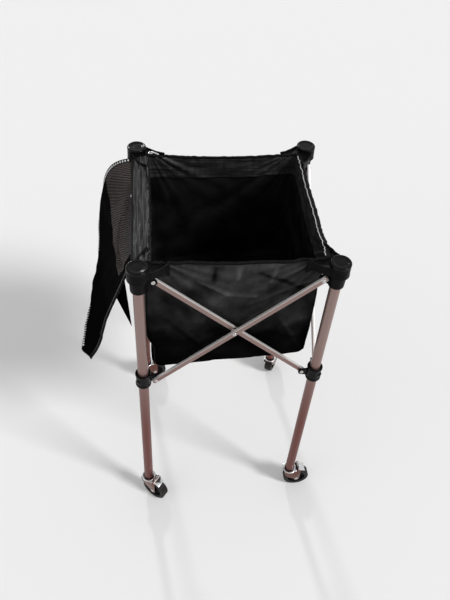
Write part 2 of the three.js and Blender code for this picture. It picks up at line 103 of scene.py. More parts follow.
LEG_AXES = {corner: middle(f"leg_tube_{corner}") for corner in CORNERS}
SQUARE = sum(LEG_AXES.values(), Vector()) / len(CORNERS)
HALF = LEG_AXES["fr"].x - SQUARE.x
TUBE_LOW, TUBE_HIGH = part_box("leg_tube_fl")
TUBE_RADIUS = (TUBE_HIGH.x - TUBE_LOW.x) / 2
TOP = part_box("top_cap_fl")[1].z
UPPER = pivot("fold").z
LOWER = pivot("slider_fl_pivot").z
INSET = pivot("fold").x - LEG_AXES["fl"].x
CENTRE_Z = pivot("outer_front_pivot").z
SPAN = pivot("leg_fr_pivot") - pivot("fold")
LINK_SLOPE = math.atan2(UPPER - LOWER, SPAN.x)
LINK_LENGTH = math.hypot(SPAN.x, UPPER - LOWER)
SWIVEL_Z = TUBE_LOW.z


def corner_place(corner):
    """A leg's own frame: its axis on Z, its two ears towards +X and +Y."""
    axis = LEG_AXES[corner]
    return Matrix.Translation((axis.x, axis.y, 0)) @ Matrix.Rotation(CORNERS.index(corner) * QUARTER, 4, "Z")


def side_place(side):
    """A side's own frame: X along the side, Y = -HALF in the plane of the legs."""
    return Matrix.Translation((SQUARE.x, SQUARE.y, 0)) @ Matrix.Rotation(SIDES.index(side) * QUARTER, 4, "Z")


def caster_place(corner):
    """A caster's own frame: the swivel axis on Z, trailing towards +X."""
    trail = pivot(f"roll_{corner}") - pivot(f"swivel_{corner}")
    axis = LEG_AXES[corner]
    return Matrix.Translation((axis.x, axis.y, 0)) @ Matrix.Rotation(math.atan2(trail.y, trail.x), 4, "Z")


# Mesh tools

def arc(centre, radius, start, end, steps):
    """Points of a circular arc, as pairs."""
    turn = (end - start) / steps
    return [(centre[0] + radius * math.cos(start + turn * i), centre[1] + radius * math.sin(start + turn * i))
            for i in range(steps + 1)]


def turned(mesh, profile, steps, place=Matrix()):
    """Spin an outline of (radius, height) pairs about Z."""
    verts = [mesh.verts.new((radius, 0, height)) for radius, height in profile]
    edges = [mesh.edges.new(pair) for pair in zip(verts, verts[1:])]
    made = bmesh.ops.spin(mesh, geom=verts + edges, cent=(0, 0, 0), axis=(0, 0, 1), dvec=(0, 0, 0),
                          angle=FULL, steps=steps, use_merge=True, use_duplicate=False)
    ends = [item for item in made["geom_last"] if isinstance(item, bmesh.types.BMVert)]
    shell = linked(verts + ends)
    bmesh.ops.remove_doubles(mesh, verts=shell, dist=1e-6)
    shell = linked([vert for vert in shell if vert.is_valid])
    bmesh.ops.transform(mesh, matrix=place, verts=shell)


def linked(seeds):
    """All vertices joined to the given ones by edges."""
    found, waiting = set(seeds), list(seeds)
    while waiting:
        vert = waiting.pop()
        for edge in vert.link_edges:
            other = edge.other_vert(vert)
            if other not in found:
                found.add(other)
                waiting.append(other)
    return list(found)


def plate(mesh, outline, thickness, place=Matrix(), edge=0.0, segments=2):
    """A flat plate from an outline in X and Z, centred on Y = 0, its rims rounded by edge."""
    before = set(mesh.verts)
    verts = [mesh.verts.new((x, -thickness / 2, z)) for x, z in outline]
    face = mesh.faces.new(verts)
    made = bmesh.ops.extrude_face_region(mesh, geom=[face], use_keep_orig=True)["geom"]
    far = [item for item in made if isinstance(item, bmesh.types.BMVert)]
    bmesh.ops.translate(mesh, verts=far, vec=(0, thickness, 0))
    if edge:
        rims = [item for item in made if isinstance(item, bmesh.types.BMEdge)] + list(face.edges)
        bmesh.ops.bevel(mesh, geom=rims, offset=edge, offset_type="OFFSET", segments=segments, profile=0.5,
                        affect="EDGES", material=-1, clamp_overlap=True)
    bmesh.ops.transform(mesh, matrix=place, verts=[vert for vert in mesh.verts if vert not in before])


def bar(mesh, size, place=Matrix(), edge=0.0, segments=2):
    """A block with rounded edges."""
    made = bmesh.ops.create_cube(mesh, size=1, matrix=Matrix.Diagonal((*size, 1)))["verts"]
    edges = list({item for vert in made for item in vert.link_edges})
    shell = made
    if edge:
        bevelled = bmesh.ops.bevel(mesh, geom=edges, offset=edge, offset_type="OFFSET", segments=segments,
                                   profile=0.5, affect="EDGES", material=-1, clamp_overlap=True)
        shell = linked(bevelled["verts"])
    bmesh.ops.transform(mesh, matrix=place, verts=shell)


def soften(mesh, angle=math.radians(32)):
    """Smooth shading, with the sharp edges kept."""
    for face in mesh.faces:
        face.smooth = True
    for edge in mesh.edges:
        edge.smooth = len(edge.link_faces) == 2 and edge.calc_face_angle(0) < angle


def finished(mesh, name, look, body, nodes=(), slot=None, place=Matrix()):
    """Turn a bmesh into a piece that rides on a body and stands for some nodes."""
    bmesh.ops.transform(mesh, matrix=place, verts=mesh.verts)
    bmesh.ops.recalc_face_normals(mesh, faces=mesh.faces)
    soften(mesh)
    data = bpy.data.meshes.new(name)
    mesh.to_mesh(data)
    mesh.free()
    return placed(data, name, look, body, nodes, slot)


def placed(data, name, look, body, nodes, slot):
    """Link a mesh as a piece of the object."""
    piece = bpy.data.objects.new(name, data)
    bpy.context.scene.collection.objects.link(piece)
    data.materials.append(finish(look))
    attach(piece, body)
    if nodes:
        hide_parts(*nodes)
    return piece


def at_corner(mesh, corner, name, look, body, node, slot, place=corner_place):
    """Finish a corner's piece; its name, body and node end in the corner's own."""
    return finished(mesh, f"{name}_{corner}", look, f"{body}_{corner}", [f"{node}_{corner}"], slot, place(corner))


# Cloth tools

def cloth(name, columns, rows, size, place, thickness, look, body, nodes=(), slot="nylon",
          closed=False, capped=False, lay=None, paint=None, where=Matrix()):
    """A sheet from a grid, moved by place(across, down), with its UV map in metres of cloth."""
    mesh = bmesh.new()
    bmesh.ops.create_grid(mesh, x_segments=columns, y_segments=rows, size=0.5, calc_uvs=True)
    layer = mesh.loops.layers.uv.verify()
    for face in mesh.faces:
        for loop in face.loops:
            x, y, _ = loop.vert.co
            loop[layer].uv = ((x + 0.5) * size[0], (0.5 - y) * size[1])
    painted = mesh.verts.layers.float.new("Painted shading") if paint else None
    for vert in mesh.verts:
        across, down = vert.co.x + 0.5, 0.5 - vert.co.y
        if paint:
            vert[painted] = paint(across, down)
        vert.co = where @ place(across, down)
    if lay:
        for face in mesh.faces:
            for loop in face.loops:
                loop[layer].uv = lay(loop.vert.co)
    if closed:
        bmesh.ops.remove_doubles(mesh, verts=mesh.verts, dist=1e-6)
    if capped:
        bmesh.ops.holes_fill(mesh, edges=mesh.edges, sides=0)
    bmesh.ops.recalc_face_normals(mesh, faces=mesh.faces)
    for face in mesh.faces:
        face.smooth = True
    data = bpy.data.meshes.new(name)
    mesh.to_mesh(data)
    mesh.free()
    piece = placed(data, name, look, body, nodes, slot)
    if thickness:
        wall = piece.modifiers.new("Thickness", "SOLIDIFY")
        wall.thickness = thickness
        wall.offset = 0
    return piece


def crumple(point, scale, seed):
    """Smooth noise from -1 to 1 that runs along a surface."""
    return noise.noise(Vector(point) / scale + Vector((seed, 2.7 * seed, 0.3 * seed)))


def bump(value, centre, width):
    """A bell of height 1 about a centre."""
    return math.exp(-((value - centre) / width) ** 2)


def step(value, low, high):
    """A smooth step from 0 at low to 1 at high."""
    share = min(1, max(0, (value - low) / (high - low)))
    return share * share * (3 - 2 * share)


def read(values, share):
    """The value at a share of the way along an even table."""
    place = min(1, max(0, share)) * (len(values) - 1)
    index = min(int(place), len(values) - 2)
    return values[index] + (values[index + 1] - values[index]) * step(place - index, 0, 1)


# Sizes and colours

def length(name, default, description):
    """A property for a size in metres."""
    return FloatProperty(name=name, default=default, min=0, unit="LENGTH", description=description)


def colour(name, default, description):
    """A property for a linear colour."""
    return FloatVectorProperty(name=name, default=default, subtype="COLOR", min=0, max=1,
                               description=description)


def angle(name, degrees, description):
    """A property for an angle."""
    return FloatProperty(name=name, default=math.radians(degrees), subtype="ANGLE", unit="ROTATION",
                         description=description)


def strength(name, default, description):
    """A property for a light's strength."""
    return FloatProperty(name=name, default=default, min=0, description=description)


class FrameSizes(bpy.types.PropertyGroup):
    """Sizes of the tubes, fittings and links."""
    tube_wall: length("Tube wall", 0.0015, "Wall of the leg tube")
    cap_dish: length("Cap dish", 0.0018, "Depth of the dish in a cap's top")
    cap_round: length("Cap edge", 0.0034, "Rounding of a cap's upper edge")
    bracket_foot: length("Bracket foot", 0.0175, "Radius of a top bracket's lower end")
    bracket_shoulder: length("Bracket shoulder", 0.011, "Height of the bracket's shoulder over its pivots")
    ear_thickness: length("Ear", 0.0045, "Thickness of an ear")
    ear_radius: length("Ear radius", 0.009, "Radius of an ear's round end")
    slider_waist: length("Slider waist", 0.0014, "Depth of the waist between a slider's flanges")
    slider_flange: length("Slider flange", 0.0062, "Height of a slider's flange")
    pin_radius: length("Pin", 0.003, "Radius of a pivot pin")
    pin_head: length("Rivet head", 0.005, "Radius of a rivet's head")
    washer_radius: length("Washer", 0.0075, "Radius of the spacer at a link's middle")
    link_height: length("Link height", 0.012, "Height of the link's section")
    link_thickness: length("Link thickness", 0.0085, "Thickness of the link's section")
    link_wall: length("Link wall", 0.0013, "Wall of the link's section")
    link_end: length("Link end", 0.0095, "Length of a link past its last pivot")
    link_bevel: length("Link bevel", 0.003, "Cut corner at a link's end")
    steps: IntProperty(name="Round steps", default=56, min=12, description="Facets of a round fitting")


class CasterSizes(bpy.types.PropertyGroup):
    """Sizes of the casters."""
    wheel_width: length("Wheel width", 0.024, "Width of the tread")
    hub_radius: length("Hub", 0.010, "Radius of the wheel's hub")
    rim_radius: length("Rim", 0.0262, "Radius where the tyre meets the wheel's core")
    groove: length("Tread groove", 0.0011, "Depth of the grooves round the tread")
    cheek: length("Cheek", 0.0022, "Thickness of the fork's cheeks")
    cheek_gap: length("Cheek gap", 0.0016, "Gap between the wheel and a cheek")
    race_radius: length("Raceway", 0.020, "Radius of the swivel raceway")
    socket_radius: length("Socket flange", 0.014, "Radius of the flange under the leg")
    axle_head: length("Axle head", 0.0055, "Radius of the axle's head")
    steps: IntProperty(name="Wheel steps", default=72, min=12, description="Facets of the wheel")


class BagSizes(bpy.types.PropertyGroup):
    """Sizes of the bag and the lid."""
    cloth: length("Cloth", 0.0011, "Thickness of the nylon")
    taper: length("Taper", 0.002, "How far the walls draw in by the bottom")
    waist: length("Waist", 0.0035, "How far the walls draw in under the rim")
    swell: length("Swell", 0.017, "How far the front left edge hangs out towards its leg")
    facing: length("Facing", 0.058, "Height of the facing inside the rim")
    wrinkle: length("Wrinkle", 0.0052, "Height of the soft folds")
    crease: length("Crease", 0.0048, "Height of the creases in the front")
    tooth_pitch: length("Tooth pitch", 0.0030, "Distance between the rim's zip teeth")
    lid_tooth_pitch: length("Lid tooth pitch", 0.0056, "Distance between the lid's zip teeth")
    lid_edge: length("Lid edge", 0.011, "Width of the nylon at the lid's back edge")
    lid_front: length("Lid front", 0.040, "Width of the nylon at the lid's front edge")
    hem_curve: length("Lower edge", 0.014, "Radius where the sides turn into the floor")


class Colours(bpy.types.PropertyGroup):
    """Colours of the finishes."""
    # The tube colours hold a painted reflection of the clay court, stronger near the floor; bare metal is also the
    # painted sky light on upward faces
    tube: colour("Tube", (0.290, 0.200, 0.182), "Anodised aluminium, high on the legs")
    low_tube_reflection: colour("Low tube", (0.150, 0.044, 0.034), "Anodised aluminium near the floor")
    worn: colour("Bare metal", (0.80, 0.79, 0.78), "Aluminium that is clean or rubbed bright")
    # Painted reflection of the clay court on the forks' sides
    clay: colour("Clay reflection", (0.165, 0.070, 0.055), "Film on the sides of the forks")
    plastic: colour("Moulding", (0.0050, 0.0046, 0.0048), "Moulded plastic")
    gloss: colour("Gloss plastic", (0.0036, 0.0036, 0.0040), "Polished plastic")
    zinc: colour("Zinc", (0.66, 0.67, 0.68), "Zinc plate")
    rubber: colour("Rubber", (0.0100, 0.0098, 0.0098), "Tread")
    nylon: colour("Nylon", (0.0030, 0.0030, 0.0032), "Bag cloth")
    # Painted light: the bag's cloth as it looks where light falls on it near the rim
    sunlit_nylon: colour("Sunlit nylon", (0.0400, 0.0385, 0.0385), "Bag cloth near the rim")
    lining: colour("Lining", (0.060, 0.061, 0.066), "Lining nylon where it catches the light")
    mesh: colour("Mesh", (0.066, 0.050, 0.047), "Knitted ribs of the lid's mesh")
    gap: colour("Mesh gaps", (0.0070, 0.0055, 0.0055), "Gaps of the lid's mesh")
    teeth: colour("Zip teeth", (0.85, 0.85, 0.86), "Zip teeth")
    dust: colour("Dust", (0.30, 0.20, 0.16), "Court dust")
    backdrop: colour("Backdrop", (0.863, 0.863, 0.863), "Floor and background")


class Stage(bpy.types.PropertyGroup):
    """Camera and light."""
    lens: FloatProperty(name="Lens", default=39.82, min=1, description="Focal length in millimetres")
    camera: FloatVectorProperty(name="Camera", default=(-0.1742, -1.1730, 1.8711), subtype="TRANSLATION",
                                unit="LENGTH", description="Camera's place from the middle of the four legs")
    yaw: angle("Yaw", 8.71, "Camera's turn towards +X")
    pitch: angle("Pitch", 46.90, "Camera's tilt down")
    roll: angle("Roll", 4.68, "Camera's roll")
    dome: strength("Dome", 0.45, "Strength of the light from all round")
    key: strength("Key", 2.0, "Strength of the light from the front right")
    rim: strength("Rim", 0.55, "Strength of the light from the back")
    side: strength("Side", 0.25, "Strength of the light from the front left")


# Shader groups and materials

def feed(tree, socket, value):
    """Link an input from a socket, or give it a value; a colour of three parts is opaque."""
    if isinstance(value, bpy.types.NodeSocket):
        tree.links.new(value, socket)
    elif socket.type == "RGBA" and len(value) == 3:
        socket.default_value = (*value, 1)
    else:
        socket.default_value = value


def add(tree, kind, inputs=None, **settings):
    """A node with its settings, and its inputs given as values or as sockets to link from."""
    node = tree.nodes.new(kind)
    for name, value in settings.items():
        setattr(node, name, value)
    for name, value in (inputs or {}).items():
        feed(tree, node.inputs[name], value)
    return node


def maths(tree, operation, first, second=0.0, clamp=False):
    """A Math node's output."""
    return add(tree, "ShaderNodeMath", {0: first, 1: second}, operation=operation, use_clamp=clamp).outputs[0]


def times(tree, first, second, clamp=False):
    """Two values multiplied."""
    return maths(tree, "MULTIPLY", first, second, clamp)


def wave(tree, value, pitch):
    """A sine wave of a pitch in metres."""
    return maths(tree, "SINE", times(tree, value, FULL / pitch))


def moved(tree, operation, first, second):
    """A Vector Math node's outputs."""
    return add(tree, "ShaderNodeVectorMath", {0: first, 1: second}, operation=operation).outputs


def mix(tree, factor, first, second, blend="MIX"):
    """A colour mix's output."""
    return add(tree, "ShaderNodeMix", {0: factor, 6: first, 7: second}, data_type="RGBA",
               blend_type=blend).outputs[2]


def spread(tree, value, low, high, out_low=0.0, out_high=1.0, kind="LINEAR"):
    """A Map Range node's output."""
    return add(tree, "ShaderNodeMapRange", {0: value, 1: low, 2: high, 3: out_low, 4: out_high},
               interpolation_type=kind).outputs[0]


def place_of(tree, kind="Object"):
    """Texture coordinates of a kind."""
    return add(tree, "ShaderNodeTexCoord").outputs[kind]


def normal_of(tree):
    """The way that the surface faces."""
    return add(tree, "ShaderNodeNewGeometry").outputs["Normal"]


def split(tree, vector):
    """A vector's X, Y and Z."""
    return add(tree, "ShaderNodeSeparateXYZ", {0: vector}).outputs


def noisy(tree, place, scale, detail, rough=0.5):
    """Noise about a half."""
    return add(tree, "ShaderNodeTexNoise", {"Vector": place, "Scale": scale, "Detail": detail,
                                            "Roughness": rough}).outputs["Fac"]


def tinted(tone, factor):
    """A colour made lighter or darker."""
    return tuple(value * factor for value in tone)


def edge_wear(tree, given):
    """Finish rubbed off along edges, broken up by noise."""
    edge = spread(tree, add(tree, "ShaderNodeNewGeometry").outputs["Pointiness"], 0.56, 0.68)
    blotch = noisy(tree, place_of(tree), given["Scale"], 5.0)
    broken = times(tree, edge, spread(tree, blotch, 0.42, 0.66))
    mask = times(tree, broken, given["Amount"], clamp=True)
    return {"Color": mix(tree, mask, given["Base"], given["Worn"]), "Mask": mask}


def dust_layer(tree, given):
    """Dust that lies on upward faces and gathers low down."""
    place = place_of(tree)
    up = spread(tree, split(tree, normal_of(tree))["Z"], -0.2, 1.0, 0.15, 1.0)
    low = spread(tree, split(tree, place)["Z"], 0.0, given["Height"], 1.0, 0.25)
    speck = spread(tree, noisy(tree, place, 46.0, 9.0, 0.62), 0.30, 0.80, 0.35, 1.0)
    patch = times(tree, times(tree, up, low), speck)
    mask = times(tree, patch, given["Amount"], clamp=True)
    return {"Color": mix(tree, mask, given["Base"], given["Dust"]), "Mask": mask}


def reflection_tint(tree, given):
    """Painted reflection on metal: the clay court's colour on its sides, stronger near the floor, giving way to the
    Upward colour on upward faces.
    """
    height = split(tree, place_of(tree))["Z"]
    foot = times(tree, given["Height"], 0.4)
    rise = spread(tree, height, foot, given["Height"], kind="SMOOTHSTEP")
    painted_reflection = mix(tree, rise, given["Low"], given["High"])
    up = spread(tree, split(tree, normal_of(tree))["Z"], 0.25, 0.85, kind="SMOOTHSTEP")
    return {"Color": mix(tree, up, painted_reflection, given["Clean"]), "Mask": up}


def fine_grain(tree, given):
    """Fine moulded or anodised grain; Stretch draws it out along Z."""
    scale = add(tree, "ShaderNodeCombineXYZ", {"X": 1.0, "Y": 1.0, "Z": given["Stretch"]}).outputs[0]
    point = moved(tree, "MULTIPLY", place_of(tree), scale)[0]
    return {"Height": noisy(tree, point, given["Scale"], 4.0), "Shade": noisy(tree, point, 21.0, 3.0)}


def plain_weave(tree, given):
    """Plain weave on a UV map in metres: threads over and under, with uneven thickness."""
    place = place_of(tree, "UV")
    parts = split(tree, place)
    waves = [maths(tree, "SINE", times(tree, maths(tree, "DIVIDE", parts[axis], given["Pitch"]), math.pi))
             for axis in "XY"]
    over = maths(tree, "GREATER_THAN", times(tree, *waves), 0.0)
    warp, weft = (maths(tree, "ABSOLUTE", thread) for thread in waves)
    height = add(tree, "ShaderNodeMix", {0: over, 2: warp, 3: weft}, data_type="FLOAT").outputs[0]
    return {"Height": times(tree, height, noisy(tree, place, 420.0, 3.0)), "Thread": over,
            "Shade": noisy(tree, place, 14.0, 6.0, 0.6)}


def stitch_row(tree, given):
    """A row of stitches on a UV map in metres, at one distance from the sheet's edge."""
    parts = split(tree, place_of(tree, "UV"))
    aside = maths(tree, "ABSOLUTE", maths(tree, "SUBTRACT", parts["Y"], given["Row"]))
    turns = times(tree, maths(tree, "DIVIDE", parts["X"], given["Pitch"]), FULL)
    dash = spread(tree, maths(tree, "SINE", turns), -0.4, 0.0)
    return {"Mask": times(tree, dash, spread(tree, aside, 0.0003, 0.0006, 1.0, 0.0))}


# Each effect's maker, its outputs, and its inputs with their defaults; an input without one is a colour
EFFECTS = {"Edge wear": (edge_wear, ("Color", "Mask"), {"Base": None, "Worn": None, "Amount": 0.5, "Scale": 60.0}),
           "Dust": (dust_layer, ("Color", "Mask"), {"Base": None, "Dust": None, "Amount": 0.3, "Height": 0.2}),
           # Painted reflection of the clay court on metal's sides, with another colour on its upward faces
           "Painted reflection": (reflection_tint, ("Color", "Mask"), {"Clean": None, "High": None, "Low": None, "Height": 0.5}),
           "Grain": (fine_grain, ("Height", "Shade"), {"Scale": 900.0, "Stretch": 1.0}),
           "Weave": (plain_weave, ("Height", "Thread", "Shade"), {"Pitch": 0.0007}),
           "Stitches": (stitch_row, ("Mask",), {"Row": 0.003, "Pitch": 0.0036})}


def effect(name):
    """The shader group of that name, made when it is first asked for."""
    group = bpy.data.node_groups.get(name)
    if group is None:
        make, outputs, inputs = EFFECTS[name]
        group = bpy.data.node_groups.new(name, "ShaderNodeTree")
        for label, default in inputs.items():
            kind = "NodeSocketColor" if default is None else "NodeSocketFloat"
            socket = group.interface.new_socket(name=label, in_out="INPUT", socket_type=kind)
            if default is not None:
                socket.default_value = default
        for label in outputs:
            kind = "NodeSocketColor" if label == "Color" else "NodeSocketFloat"
            group.interface.new_socket(name=label, in_out="OUTPUT", socket_type=kind)
        add(group, "NodeGroupOutput", make(group, group.nodes.new("NodeGroupInput").outputs))
    return group


def use(tree, name, **inputs):
    """Place an effect group in a material and give its outputs."""
    return add(tree, "ShaderNodeGroup", inputs, node_tree=effect(name)).outputs


def raised(tree, bsdf, height, strength, distance):
    """Feed a bump into the shader's normal."""
    relief = add(tree, "ShaderNodeBump", {"Height": height, "Strength": strength, "Distance": distance})
    feed(tree, bsdf.inputs["Normal"], relief.outputs[0])


def colours():
    """The scene's colours."""
    return bpy.context.scene.hopper_colours


def dusted(tree, bsdf, base, amount, height):
    """Lay dust on a colour, feed it to the shader and give the dust's mask."""
    layer = use(tree, "Dust", Base=base, Dust=colours().dust, Amount=amount, Height=height)
    feed(tree, bsdf.inputs["Base Color"], layer["Color"])
    return layer["Mask"]


def textured(tree, bsdf, value, rough, height, relief, specular=0.5):
    """Roughness from a value's (low, high, out low, out high), and a bump of (strength, distance)."""
    feed(tree, bsdf.inputs["Roughness"], spread(tree, value, *rough))
    bsdf.inputs["Specular IOR Level"].default_value = specular
    raised(tree, bsdf, height, *relief)


def grained(tree, bsdf, scale, rough, relief, specular=0.5):
    """Roughness and bump from one grain."""
    grain = use(tree, "Grain", Scale=scale)
    textured(tree, bsdf, grain["Shade"], rough, grain["Height"], relief, specular)


def anodised(tree, bsdf):
    """Satin anodised tube: drawn grain, faint handling marks, a painted reflection of the clay court that grows
    towards the floor, and painted sky light on upward faces.
    """
    tone = colours()
    grain = use(tree, "Grain", Scale=1500.0, Stretch=0.04)
    # Painted reflection: clay colour on the sides, stronger low down, and bare metal as painted sky light on upward
    # faces
    painted_reflection = use(tree, "Painted reflection", Clean=tone.worn, High=tone.tube, Low=tone.low_tube_reflection, Height=0.75)
    shade = mix(tree, spread(tree, grain["Shade"], 0.35, 0.75, 0.0, 0.10), painted_reflection["Color"], (0.16, 0.12, 0.11))
    worn = use(tree, "Edge wear", Base=shade, Worn=tone.worn, Amount=0.22, Scale=140.0)
    dusted(tree, bsdf, worn["Color"], 0.06, 0.35)
    feed(tree, bsdf.inputs["Metallic"], spread(tree, painted_reflection["Mask"], 0.0, 1.0, 0.72, 0.35))
    textured(tree, bsdf, grain["Height"], (0.2, 0.8, 0.32, 0.42), grain["Height"], (0.10, 0.00004))


def moulded(tree, bsdf):
    """Half matte black moulding with a spark-eroded grain."""
    worn = use(tree, "Edge wear", Base=colours().plastic, Worn=(0.035, 0.034, 0.035), Amount=0.5)
    dusted(tree, bsdf, worn["Color"], 0.008, 0.6)
    grained(tree, bsdf, 1100.0, (0.3, 0.7, 0.34, 0.46), (0.25, 0.00008), 0.03)


def glazed(tree, bsdf):
    """Half glossy moulding, rubbed bright by handling."""
    worn = use(tree, "Edge wear", Base=colours().plastic, Worn=(0.04, 0.038, 0.038), Amount=0.5)
    dusted(tree, bsdf, worn["Color"], 0.007, 0.6)
    grained(tree, bsdf, 700.0, (0.3, 0.7, 0.18, 0.28), (0.12, 0.00006), 0.08)


def polished(tree, bsdf):
    """Glossy black plastic with faint swirls and a few grains of dust."""
    dusted(tree, bsdf, colours().gloss, 0.003, 2.0)
    grained(tree, bsdf, 260.0, (0.35, 0.7, 0.07, 0.12), (0.04, 0.0001), 0.10)


def plated(tree, bsdf):
    """Bright zinc plate on pressed steel, with a painted reflection of the clay court on its sides."""
    tone = colours()
    # Painted reflection of the clay court on the sides; zinc stays on upward faces
    painted_reflection = use(tree, "Painted reflection", Clean=tone.zinc, High=tone.clay, Low=tone.clay, Height=0.08)
    worn = use(tree, "Edge wear", Base=painted_reflection["Color"], Worn=tone.zinc, Amount=0.7)
    mask = dusted(tree, bsdf, worn["Color"], 0.12, 0.14)
    feed(tree, bsdf.inputs["Metallic"], spread(tree, mask, 0.0, 0.3, 1.0, 0.7))
    grained(tree, bsdf, 320.0, (0.3, 0.7, 0.12, 0.26), (0.08, 0.0001))


def riveted(tree, bsdf):
    """Plain steel of rivets and pins."""
    worn = use(tree, "Edge wear", Base=(0.52, 0.50, 0.49), Worn=(0.72, 0.70, 0.68), Amount=0.8)
    feed(tree, bsdf.inputs["Base Color"], worn["Color"])
    bsdf.inputs["Metallic"].default_value = 1.0
    grained(tree, bsdf, 600.0, (0.3, 0.7, 0.20, 0.34), (0.1, 0.0001))


def tread(tree, bsdf):
    """Black rubber, scuffed and dusty."""
    worn = use(tree, "Edge wear", Base=colours().rubber, Worn=(0.09, 0.085, 0.08), Amount=0.9)
    dusted(tree, bsdf, worn["Color"], 0.07, 0.12)
    grained(tree, bsdf, 700.0, (0.3, 0.7, 0.45, 0.65), (0.3, 0.00012), 0.2)


def toothed(tree, bsdf):
    """Moulded zip teeth."""
    teeth = colours().teeth
    grain = use(tree, "Grain", Scale=500.0)
    shade = mix(tree, spread(tree, grain["Shade"], 0.3, 0.7), teeth, tinted(teeth, 0.6))
    feed(tree, bsdf.inputs["Base Color"], shade)
    bsdf.inputs["Roughness"].default_value = 0.3
    raised(tree, bsdf, grain["Height"], 0.1, 0.0001)


def outward_mask(tree):
    """1 where the surface faces away from the middle of the bag, 0 on its inside."""
    aside = moved(tree, "SUBTRACT", place_of(tree), (SQUARE.x, SQUARE.y, 0))[0]
    level = moved(tree, "MULTIPLY", aside, (1, 1, 0))[0]
    return spread(tree, moved(tree, "DOT_PRODUCT", level, normal_of(tree))["Value"], -0.02, 0.03)


def painted_shading(tree):
    """The light and shade painted on a sheet's points."""
    return add(tree, "ShaderNodeAttribute", attribute_name="Painted shading").outputs["Fac"]


def nylon_cloth(tree, bsdf, top_light_share):
    """Black nylon: a plain weave with a soft sheen, painted light on its outside that grows towards the rim, painted
    light on its inside, and painted light on the ridges of its folds with painted shade in their hollows.
    """
    tone = colours()
    weave = use(tree, "Weave", Pitch=0.00085)
    place = place_of(tree)
    uneven = maths(tree, "ADD", split(tree, place)["Z"], times(tree, noisy(tree, place, 9.0, 4.0), 0.16))
    outward = outward_mask(tree)
    # Painted light on the outside, growing towards the rim
    top_light_mask = times(tree, spread(tree, uneven, 0.77, 0.97, 0.0, top_light_share), outward)
    # Painted light inside the bag: the same nylon made lighter on its inner face
    plain = mix(tree, outward, tinted(tone.nylon, 3.6), tone.nylon)
    sunlit_nylon = mix(tree, top_light_mask, plain, tone.sunlit_nylon)
    # Patches of the weave made paler within the painted light
    worn = times(tree, spread(tree, weave["Shade"], 0.45, 0.70), top_light_mask)
    patchy_top_light = mix(tree, worn, sunlit_nylon, tinted(tone.sunlit_nylon, 1.8))
    # Painted shade in the hollows of the folds and painted light on their ridges, read from the fold height on the
    # points
    folds = painted_shading(tree)
    shaded = mix(tree, spread(tree, folds, 0.0, -0.9, 0.0, 0.85), patchy_top_light, tinted(tone.nylon, 0.4))
    ridge_light = mix(tree, spread(tree, folds, 0.0, 0.9), shaded, (2.2, 2.2, 2.2), "MULTIPLY")
    thread = mix(tree, spread(tree, weave["Height"], 0.0, 0.6, 0.55, 0.0), ridge_light, tinted(tone.nylon, 0.35))
    dusted(tree, bsdf, thread, 0.003, 2.0)
    textured(tree, bsdf, weave["Thread"], (0.0, 1.0, 0.42, 0.54), weave["Height"], (0.5, 0.0003), 0.0)


def woven(tree, bsdf):
    """The bag's cloth."""
    nylon_cloth(tree, bsdf, 1.0)


def bordered(tree, bsdf):
    """The lid's cloth, with only a little of the painted top light."""
    nylon_cloth(tree, bsdf, 0.12)


def satin(tree, bsdf):
    """Nylon tape, sleeves and bindings: smoother than the bag's cloth, with a stitched edge."""
    nylon = colours().nylon
    weave = use(tree, "Weave", Pitch=0.0006)
    shade = mix(tree, spread(tree, weave["Shade"], 0.38, 0.72, 0.0, 0.7), nylon, tinted(nylon, 2.4))
    thread = mix(tree, spread(tree, weave["Height"], 0.0, 0.6, 0.4, 0.0), shade, tinted(nylon, 0.5))
    sewn = mix(tree, use(tree, "Stitches", Row=0.0030)["Mask"], thread, tinted(nylon, 5))
    dusted(tree, bsdf, sewn, 0.008, 2.0)
    textured(tree, bsdf, weave["Thread"], (0.0, 1.0, 0.30, 0.40), weave["Height"], (0.3, 0.00015), 0.04)


def gathered(tree, bsdf):
    """Shiny lining nylon, puckered in streaks along the sheet and stitched near one edge."""
    tone = colours()
    weave = use(tree, "Weave", Pitch=0.0006)
    place = place_of(tree, "UV")
    streak = noisy(tree, moved(tree, "MULTIPLY", place, (9.0, 150.0, 0.0))[0], 1.0, 5.0, 0.6)
    pucker = noisy(tree, moved(tree, "MULTIPLY", place, (70.0, 14.0, 0.0))[0], 1.0, 4.0)
    # Painted highlights along the streaks and puckers
    lit = times(tree, spread(tree, streak, 0.42, 0.66), spread(tree, pucker, 0.35, 0.62, 0.35, 1.0))
    shade = mix(tree, lit, tinted(tone.sunlit_nylon, 0.35), tone.lining)
    sewn = mix(tree, use(tree, "Stitches", Row=0.0030)["Mask"], shade, tinted(tone.lining, 1.4))
    feed(tree, bsdf.inputs["Base Color"], sewn)
    ridges = maths(tree, "ADD", streak, times(tree, weave["Height"], 0.08))
    textured(tree, bsdf, weave["Thread"], (0.0, 1.0, 0.34, 0.42), ridges, (0.5, 0.0016), 0.18)


